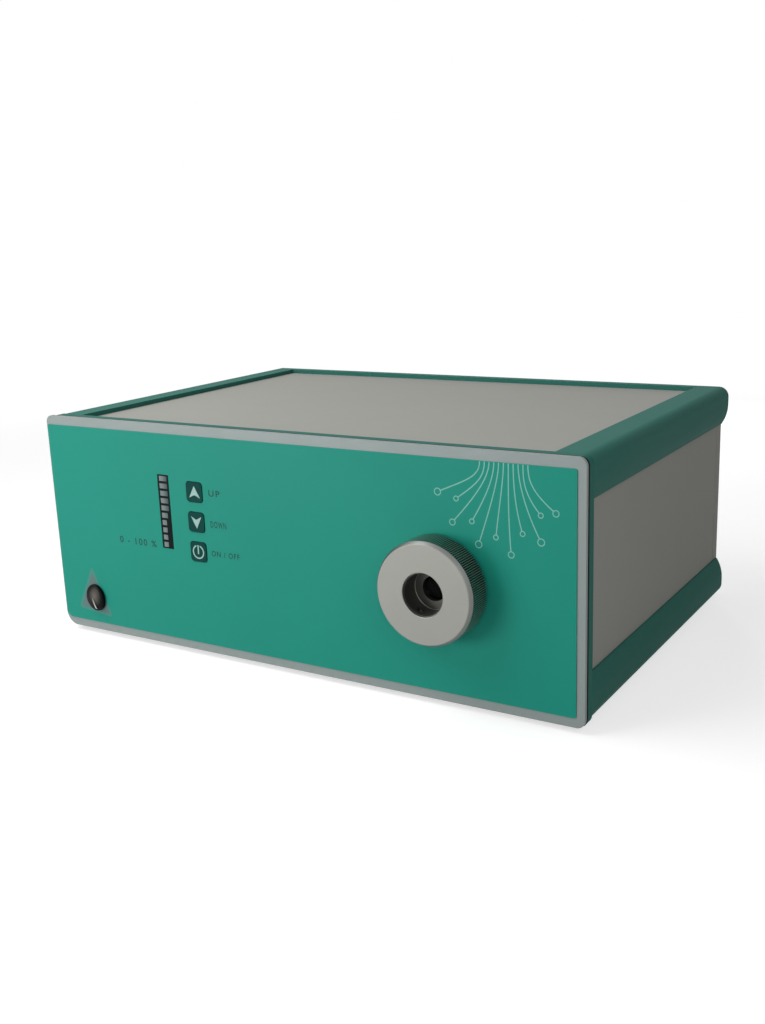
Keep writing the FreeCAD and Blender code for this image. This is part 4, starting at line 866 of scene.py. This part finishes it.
fibreFan = {
    "count": 11,
    "rootX": 121.5,
    "rootPitch": 2.3,
    "rootTall": 7.0,
    "hubDrop": 1.0,
    "topInset": 0.1,
    "fromAngle": 204,
    "toAngle": 322,
    "reach": [36, 29, 38, 31, 39, 33, 40, 31, 37, 27, 31],
    "bendShare": 0.45,
    "endRadius": [1.7, 1.2, 1.5, 1.2],
    "lineWide": 0.5,
    "ringPoints": 10,
}


def printFibreFan():
    # drawn light fibres that come in over the top edge, fan out and end in small open rings
    fan = fibreFan
    top = foilHigh.z - fan["topInset"]
    drawn = []
    for index in range(fan["count"]):
        share = index / (fan["count"] - 1)
        angle = math.radians(fan["fromAngle"] + (fan["toAngle"] - fan["fromAngle"]) * share)
        across, along = math.cos(angle), math.sin(angle)
        reach = fan["reach"][index]
        radius = fan["endRadius"][index % len(fan["endRadius"])]
        rootX = fan["rootX"] + (share - 0.5) * fan["rootPitch"] * (fan["count"] - 1)
        tip = (fan["rootX"] + across * reach, top - fan["hubDrop"] + along * reach)
        touch = (tip[0] - across * radius, tip[1] - along * radius)
        back = reach * fan["bendShare"]
        bend = (tip[0] - across * back, tip[1] - along * back)
        route = [(rootX, top), (rootX, top - fan["rootTall"]), bend, touch]
        drawn.append(printLine(f"fibre{index}", route, fan["lineWide"]))
        ring = [(tip[0] + radius * math.cos(turn), tip[1] + radius * math.sin(turn))
                for turn in (2 * math.pi * step / fan["ringPoints"] for step in range(fan["ringPoints"]))]
        drawn.append(printLine(f"fibreEnd{index}", ring, fan["lineWide"], closed=True))
    joinPieces(drawn, "fibreFan")


printFibreFan()
print("overlay printed")


# screws with a cross recess

panScrew = {
    "sides": 28,
    "dome": ((0.35, 0.02), (0.68, 0.16), (0.9, 0.5), (1.0, 1.0)),  # share of the radius, drop
    "edge": 0.08,
    "slotLong": 3.0,
    "slotWide": 0.75,
    "slotDeep": 1.3,
    "slotTaper": (0.45, 1, 0.7),
    "plainShank": 0.4,
    "threadPitch": 0.8,
    "threadDeep": 0.28,
    "pointTall": 0.5,
    "pointShare": 0.6,
    "tip": 0.01,
    "turnStep": 1.1,
}


def islandsOf(node):
    # the corners, in millimetres, of each separate solid of a node, from a merged copy of its mesh
    net = bmesh.new()
    net.from_mesh(frame["nodes"][node].data)
    bmesh.ops.remove_doubles(net, verts=net.verts, dist=0.001 * mm)
    found, seen = [], set()
    for first in net.verts:
        if first in seen:
            continue
        seen.add(first)
        island, waiting = [], [first]
        while waiting:
            vertex = waiting.pop()
            island.append(vertex.co / mm)
            for edge in vertex.link_edges:
                other = edge.other_vert(vertex)
                if other not in seen:
                    seen.add(other)
                    waiting.append(other)
        found.append(island)
    net.free()
    return found


def readScrew(island):
    # head centre, outward direction and sizes of one screw, read from its corners
    low = Vector([min(point[axis] for point in island) for axis in range(3)])
    high = Vector([max(point[axis] for point in island) for axis in range(3)])
    span = high - low
    axis = max(range(3), key=lambda index: span[index])
    middle = (low + high) / 2
    radiusAt = {}
    for end in (low[axis], high[axis]):
        ring = [point - middle for point in island if abs(point[axis] - end) < 0.05]
        for offset in ring:
            offset[axis] = 0
        radiusAt[end] = max(offset.length for offset in ring)
    headEnd = max(radiusAt, key=radiusAt.get)
    shankRadius = min(radiusAt.values())
    steps = {abs(point[axis] - headEnd) for point in island}
    headTall = min(step for step in steps if step > 0.5)
    outward = Vector((0, 0, 0))
    outward[axis] = 1 if headEnd == high[axis] else -1
    centre = middle.copy()
    centre[axis] = headEnd
    return {"centre": centre, "outward": outward, "long": span[axis], "headRadius": radiusAt[headEnd],
            "headTall": headTall, "shankRadius": shankRadius}


def cutSlot(screw, crosswise):
    # one bar of the cross: a cube drawn out, tapered inwards and taken out of the head
    long, wide = panScrew["slotLong"], panScrew["slotWide"]
    startPiece()
    bpy.ops.mesh.primitive_cube_add(size=mm, location=(0, 0, 0))
    bpy.ops.object.mode_set(mode="EDIT")
    bpy.ops.mesh.select_all(action="SELECT")
    bpy.ops.transform.resize(value=(long, 2 * panScrew["slotDeep"], wide))
    selectFaces(lambda place, normal: normal.y > 0.9)
    bpy.ops.transform.resize(value=panScrew["slotTaper"])
    if crosswise:
        bpy.ops.mesh.select_all(action="SELECT")
        bpy.ops.transform.resize(value=(wide / long, 1, long / wide))
    bpy.ops.object.mode_set(mode="OBJECT")
    cutter = bpy.context.object
    startPiece()
    screw.select_set(True)
    bpy.context.view_layer.objects.active = screw
    cut = screw.modifiers.new("recess", "BOOLEAN")
    cut.object = cutter
    cut.operation = "DIFFERENCE"
    bpy.ops.object.modifier_apply(modifier="recess")
    bpy.data.objects.remove(cutter, do_unlink=True)


def modelScrew(sizes):
    # a domed head with its washer edge, a threaded shank, and the recess cut by a tapered cross
    radius, tall = sizes["headRadius"], sizes["headTall"]
    shank, long = sizes["shankRadius"], sizes["long"]
    edge, tip, pitch = panScrew["edge"], panScrew["tip"], panScrew["threadPitch"]
    profile = [(tip, 0)]
    profile += [(radius * share, drop) for share, drop in panScrew["dome"]]
    profile += [(radius, tall - edge), (radius - edge, tall), (shank, tall)]
    y = tall + panScrew["plainShank"]
    while y + pitch < long - panScrew["pointTall"]:
        profile += [(shank, y), (shank - panScrew["threadDeep"], y + pitch / 2)]
        y += pitch
    profile += [(shank, y), (shank * panScrew["pointShare"], long), (tip, long)]
    turnPiece((0, 0), profile, panScrew["sides"])
    bpy.ops.object.mode_set(mode="OBJECT")
    bpy.ops.object.transform_apply(location=True, rotation=True, scale=True)
    screw = bpy.context.object
    cutSlot(screw, crosswise=False)
    cutSlot(screw, crosswise=True)
    return screw


def placeScrews(node, name):
    # one modelled screw copied to every screw of the node, each a little further turned than the last
    screws = [readScrew(island) for island in islandsOf(node)]
    pattern = modelScrew(screws[0])
    copies = []
    for index, sizes in enumerate(screws):
        screw = pattern.copy()
        screw.data = pattern.data.copy()
        bpy.context.collection.objects.link(screw)
        aim = Vector((0, -1, 0)).rotation_difference(sizes["outward"]).to_matrix().to_4x4()
        if (aim @ Vector((0, -1, 0)) - sizes["outward"]).length > 0.01:
            aim = Matrix.Rotation(math.pi, 4, "Z")
        spin = Matrix.Rotation(index * panScrew["turnStep"], 4, "Y")
        screw.matrix_world = Matrix.Translation(sizes["centre"] * mm) @ aim @ spin
        startPiece()
        screw.select_set(True)
        bpy.context.view_layer.objects.active = screw
        copies.append(finishPiece(f"{name}{index}", "case", "zinc_steel", 35))
    bpy.data.objects.remove(pattern, do_unlink=True)
    joined = joinPieces(copies, name)
    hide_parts(node)
    print(name, "placed:", len(copies))


placeScrews("short_screws", "shortScrews")
placeScrews("long_screws", "longScrews")


# marks on the rear rocker

rockerMarks = {
    "axle": (110.85, 99),
    "lean": 10,
    "slope": 13,
    "up": 4.3,
    "back": 4.59,
    "proud": 0.04,
    "tall": 2.6,
    "wide": 0.45,
    "ringRadius": 1.3,
    "ringWire": 0.22,
}


def slopeSpot(side):
    # the middle of the rocker's upper (1) or lower (-1) slope and the turn that faces it
    lean = math.radians(rockerMarks["lean"])
    back, up = rockerMarks["back"], rockerMarks["up"] * side
    axleY, axleZ = rockerMarks["axle"]
    y = axleY + back * math.cos(lean) - up * math.sin(lean)
    z = axleZ + up * math.cos(lean) + back * math.sin(lean)
    return y, z, lean - math.radians(rockerMarks["slope"]) * side


def markRocker():
    # a bar for on and a ring for off, printed on the two slopes of the rocker
    x = middleOf("power_rocker")[0]
    y, z, turn = slopeSpot(1)
    startPiece()
    bpy.ops.mesh.primitive_cube_add(size=mm, location=spot(x, y, z), rotation=(turn, 0, 0))
    bpy.context.object.scale = (rockerMarks["wide"], 2 * rockerMarks["proud"], rockerMarks["tall"])
    bar = finishPiece("rockerBar", "rocker", "rocker_black", 0, inks["white"])
    y, z, turn = slopeSpot(-1)
    startPiece()
    bpy.ops.mesh.primitive_torus_add(major_segments=40, minor_segments=6, location=spot(x, y, z),
                                     rotation=(turn + math.pi / 2, 0, 0),
                                     major_radius=rockerMarks["ringRadius"] * mm,
                                     minor_radius=rockerMarks["ringWire"] * mm)
    bpy.context.object.scale = (1, 1, rockerMarks["proud"] / rockerMarks["ringWire"])
    ring = finishPiece("rockerRing", "rocker", "rocker_black", 40, inks["white"])
    joinPieces([bar, ring], "rockerMarks")


markRocker()
print("rocker marked")


# camera, floor and light

view = {
    "spot": (335.10, -542.49, 223.45),
    "turn": 0.560317,
    "tilt": 0.248356,
    "roll": -0.037311,
    "lens": 40.503,
}


def makeCamera():
    data = bpy.data.cameras.new("camera")
    data.lens = view["lens"]
    data.sensor_width = 36
    data.clip_start = 0.01
    camera = bpy.data.objects.new("camera", data)
    bpy.context.collection.objects.link(camera)
    aim = Euler((math.pi / 2 - view["tilt"], 0, view["turn"])).to_matrix().to_4x4()
    roll = Matrix.Rotation(view["roll"], 4, "Z")
    camera.matrix_world = Matrix.Translation(spot(*view["spot"])) @ aim @ roll
    bpy.context.scene.camera = camera


lamps = {
    "keyLamp": ((-0.38, -0.74, 0.0), 0.45, 5.1),  # place and size in metres, power in watts
    "topLamp": ((-0.35, -0.32, 0.65), 0.6, 4.4),
    "sideLamp": ((0.45, -0.45, 0.35), 0.3, 0.75),
    "backLamp": ((-0.2, 0.8, 0.045), 0.14, 6.0),
}
lighting = {
    "aim": (0, 0, 0.06),
    "world": 0.17,
    "floorColor": 0.5,
    "floorGlow": 0.66,
    "floorFrom": 300,
    "floorTo": 900,
    "floorSize": 60,
}


def makeLamp(name, place, size, power):
    data = bpy.data.lights.new(name, "AREA")
    data.size = size
    data.energy = power
    lamp = bpy.data.objects.new(name, data)
    bpy.context.collection.objects.link(lamp)
    lamp.location = place
    fromAim = Vector(place) - Vector(lighting["aim"])
    lamp.rotation_euler = fromAim.to_track_quat("Z", "Y").to_euler()


def seenDirectly(recipe):
    # 1 for what the camera sees, also in a mirror or through glass
    camera = recipe.add("ShaderNodeLightPath")
    glossy = recipe.add("ShaderNodeLightPath", output="Is Glossy Ray")
    through = recipe.add("ShaderNodeLightPath", output="Is Transmission Ray")
    return recipe.join("MAXIMUM", recipe.join("MAXIMUM", camera, glossy), through)


def makeWorld():
    world = bpy.data.worlds.new("studio")
    bpy.context.scene.world = world
    recipe = Recipe(world)
    light = recipe.add("ShaderNodeBackground", {}, {"Color": (1, 1, 1, 1), "Strength": lighting["world"]})
    white = recipe.add("ShaderNodeBackground", {}, {"Color": (1, 1, 1, 1), "Strength": 1.0})
    mix = recipe.add("ShaderNodeMixShader", {}, {0: seenDirectly(recipe), 1: light, 2: white})
    recipe.add("ShaderNodeOutputWorld", {}, {"Surface": mix})


def makeFloor():
    # a pale sweep: it takes the soft shadow near the object and goes over to white further out
    startPiece()
    bpy.ops.mesh.primitive_plane_add(size=lighting["floorSize"], location=(0, 0, 0))
    floor = bpy.context.object
    floor.name = "floor"
    level = lighting["floorColor"]
    recipe = newRecipe("floorSweep")
    cloud = recipe.noise(0.004, 2.0)
    base = recipe.blend(cloud, (level, level, level, 1), (level * 1.03, level * 1.03, level * 1.03, 1))
    matt = recipe.add("ShaderNodeBsdfDiffuse", {}, {"Color": base})
    glow = recipe.add("ShaderNodeEmission", {}, {"Color": (1, 1, 1, 1), "Strength": lighting["floorGlow"]})
    lifted = recipe.add("ShaderNodeAddShader", {}, {0: matt, 1: glow})
    white = recipe.add("ShaderNodeEmission", {}, {"Color": (1, 1, 1, 1), "Strength": 1.0})
    distance = recipe.length(recipe.place())
    far = recipe.between(distance, lighting["floorFrom"], lighting["floorTo"])
    sweep = recipe.add("ShaderNodeMixShader", {}, {0: far, 1: lifted, 2: white})
    mix = recipe.add("ShaderNodeMixShader", {}, {0: seenDirectly(recipe), 1: matt, 2: sweep})
    recipe.add("ShaderNodeOutputMaterial", {}, {"Surface": mix})
    floor.data.materials.append(recipe.owner)


makeCamera()
makeWorld()
makeFloor()
for lampName, (place, size, power) in lamps.items():
    makeLamp(lampName, place, size, power)
bpy.context.scene.view_settings.view_transform = "Standard"
print("studio set")
